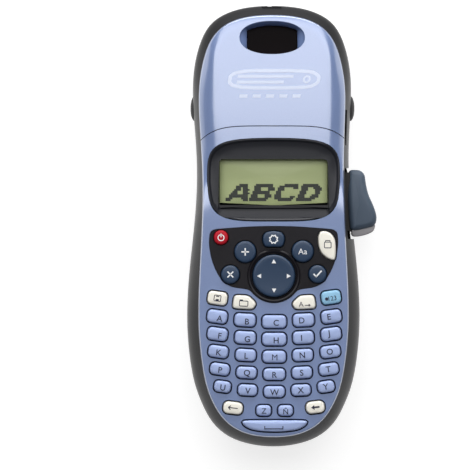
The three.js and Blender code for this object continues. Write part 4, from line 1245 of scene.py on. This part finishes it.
# %% Cassette, label and spool
SPOOL = (-1.5, 57.6)
dress("tape_cassette", CASE)
label_line = [(-18.4, 49.6), (16.4, 49.6), (18, 51.2), (18, 61.5), (16, 63.6), (8.5, 64), (-18.4, 69),
              (-20, 67), (-20, 51.4)]
LABEL_PAPER = finish("label paper", (0.75, 0.24, 0.09), 0.6, grain=0.02)
label = shape("cassette_label", slab(even(cut_corners(label_line, 2), 96), 29.02, 29.14), LABEL_PAPER)
carve(label, slab(disc(6.2, 48) + SPOOL, 20, 40))
piece("cassette_label", label, None, "housing")
spool = [(2.2, 11.4), (3.9, 11.4), (3.9, 13.6), (7.7, 13.6), (7.8, 13.8), (7.8, 26.2), (7.7, 26.4),
         (3.9, 26.4), (3.9, 28.2), (3.5, 28.4), (2.2, 28.4)]
piece("spool_and_tape", spun(spool, *SPOOL, loop=True), PAPER, "spool", ["tape_spool"])
piece("tape_strip", box((-1.85, -1.65), (68.5, 97.5), (13.6, 25.4)), PAPER, "housing")

# %% [markdown]
# ## Floor, light and camera
# The device lies on a white sheet that glows a little, so that it stays white in any light.

# %% Floor
FLOOR_FINISH = tuned(finish("white sheet", (0.42, 0.42, 0.42), 0.9, grain=0.0, cloud=0.005),
                     Emission_Color=(1, 1, 1, 1), Emission_Strength=0.76)
sheet = shape("floor", box((-1500, 1500), (-1500, 1500), (-6, -0.05)), FLOOR_FINISH)
print("the floor lies just below the device")

# %% [markdown]
# One large soft box beyond the label end makes the sloping door bright and leaves the flat keypad calmer. The
# surroundings are darker near the horizon, which draws the sides in; seen directly they are plain white.

# %% Light
def soft_box(name, place, aim, width, height, watts):
    """A rectangular lamp that faces the point it is aimed at."""
    lamp = bpy.data.lights.new(name, "AREA")
    lamp.shape = "RECTANGLE"
    lamp.size, lamp.size_y = width, height
    lamp.energy = watts
    obj = bpy.data.objects.new(name, lamp)
    bpy.context.scene.collection.objects.link(obj)
    obj.location = place
    obj.rotation_euler = (Vector(aim) - Vector(place)).to_track_quat("-Z", "Y").to_euler()
    return obj


soft_box("key_box", (0.0, 0.86, 1.35), (0, 0.86, 0.0), 2.4, 1.34, 25)
soft_box("end_box", (0.0, 1.5, 0.42), (0, 0.1, 0.03), 1.8, 0.6, 24)
world = bpy.data.worlds.new("studio")
bpy.context.scene.world = world
world.use_nodes = True
nodes, links = world.node_tree.nodes, world.node_tree.links
split = nodes.new("ShaderNodeSeparateXYZ")
links.new(nodes.new("ShaderNodeTexCoord").outputs["Generated"], split.inputs["Vector"])
brightest = nodes.new("ShaderNodeMath")
brightest.operation = "MAXIMUM"
links.new(remap(world.node_tree, split.outputs["Z"], 0.0, 1.0, 0.13, 0.22), brightest.inputs[0])
links.new(nodes.new("ShaderNodeLightPath").outputs["Is Camera Ray"], brightest.inputs[1])
links.new(brightest.outputs["Value"], nodes["Background"].inputs["Strength"])
nodes["Background"].inputs["Color"].default_value = (1, 1, 1, 1)
bpy.context.scene.view_settings.view_transform = "Standard"
print("lamps:", len(bpy.data.lights))

# %% [markdown]
# The camera looks straight down from far away, which keeps the sides of the body nearly out of sight. Its
# lens is worked out from the width that it has to show at the height of the keypad.

# %% Camera
EYE_HEIGHT, KEY_PLANE, VIEW_WIDTH, SENSOR = 4.0, 0.036, 0.21244, 36
lens = bpy.data.cameras.new("camera")
lens.lens = SENSOR * (EYE_HEIGHT - KEY_PLANE) / VIEW_WIDTH
lens.sensor_width = SENSOR
camera = bpy.data.objects.new("camera", lens)
bpy.context.scene.collection.objects.link(camera)
camera.location = (-0.0174, -0.004, EYE_HEIGHT)
camera.rotation_euler = (0, 0, 0)
bpy.context.scene.camera = camera
print("focal length", round(lens.lens), "mm")
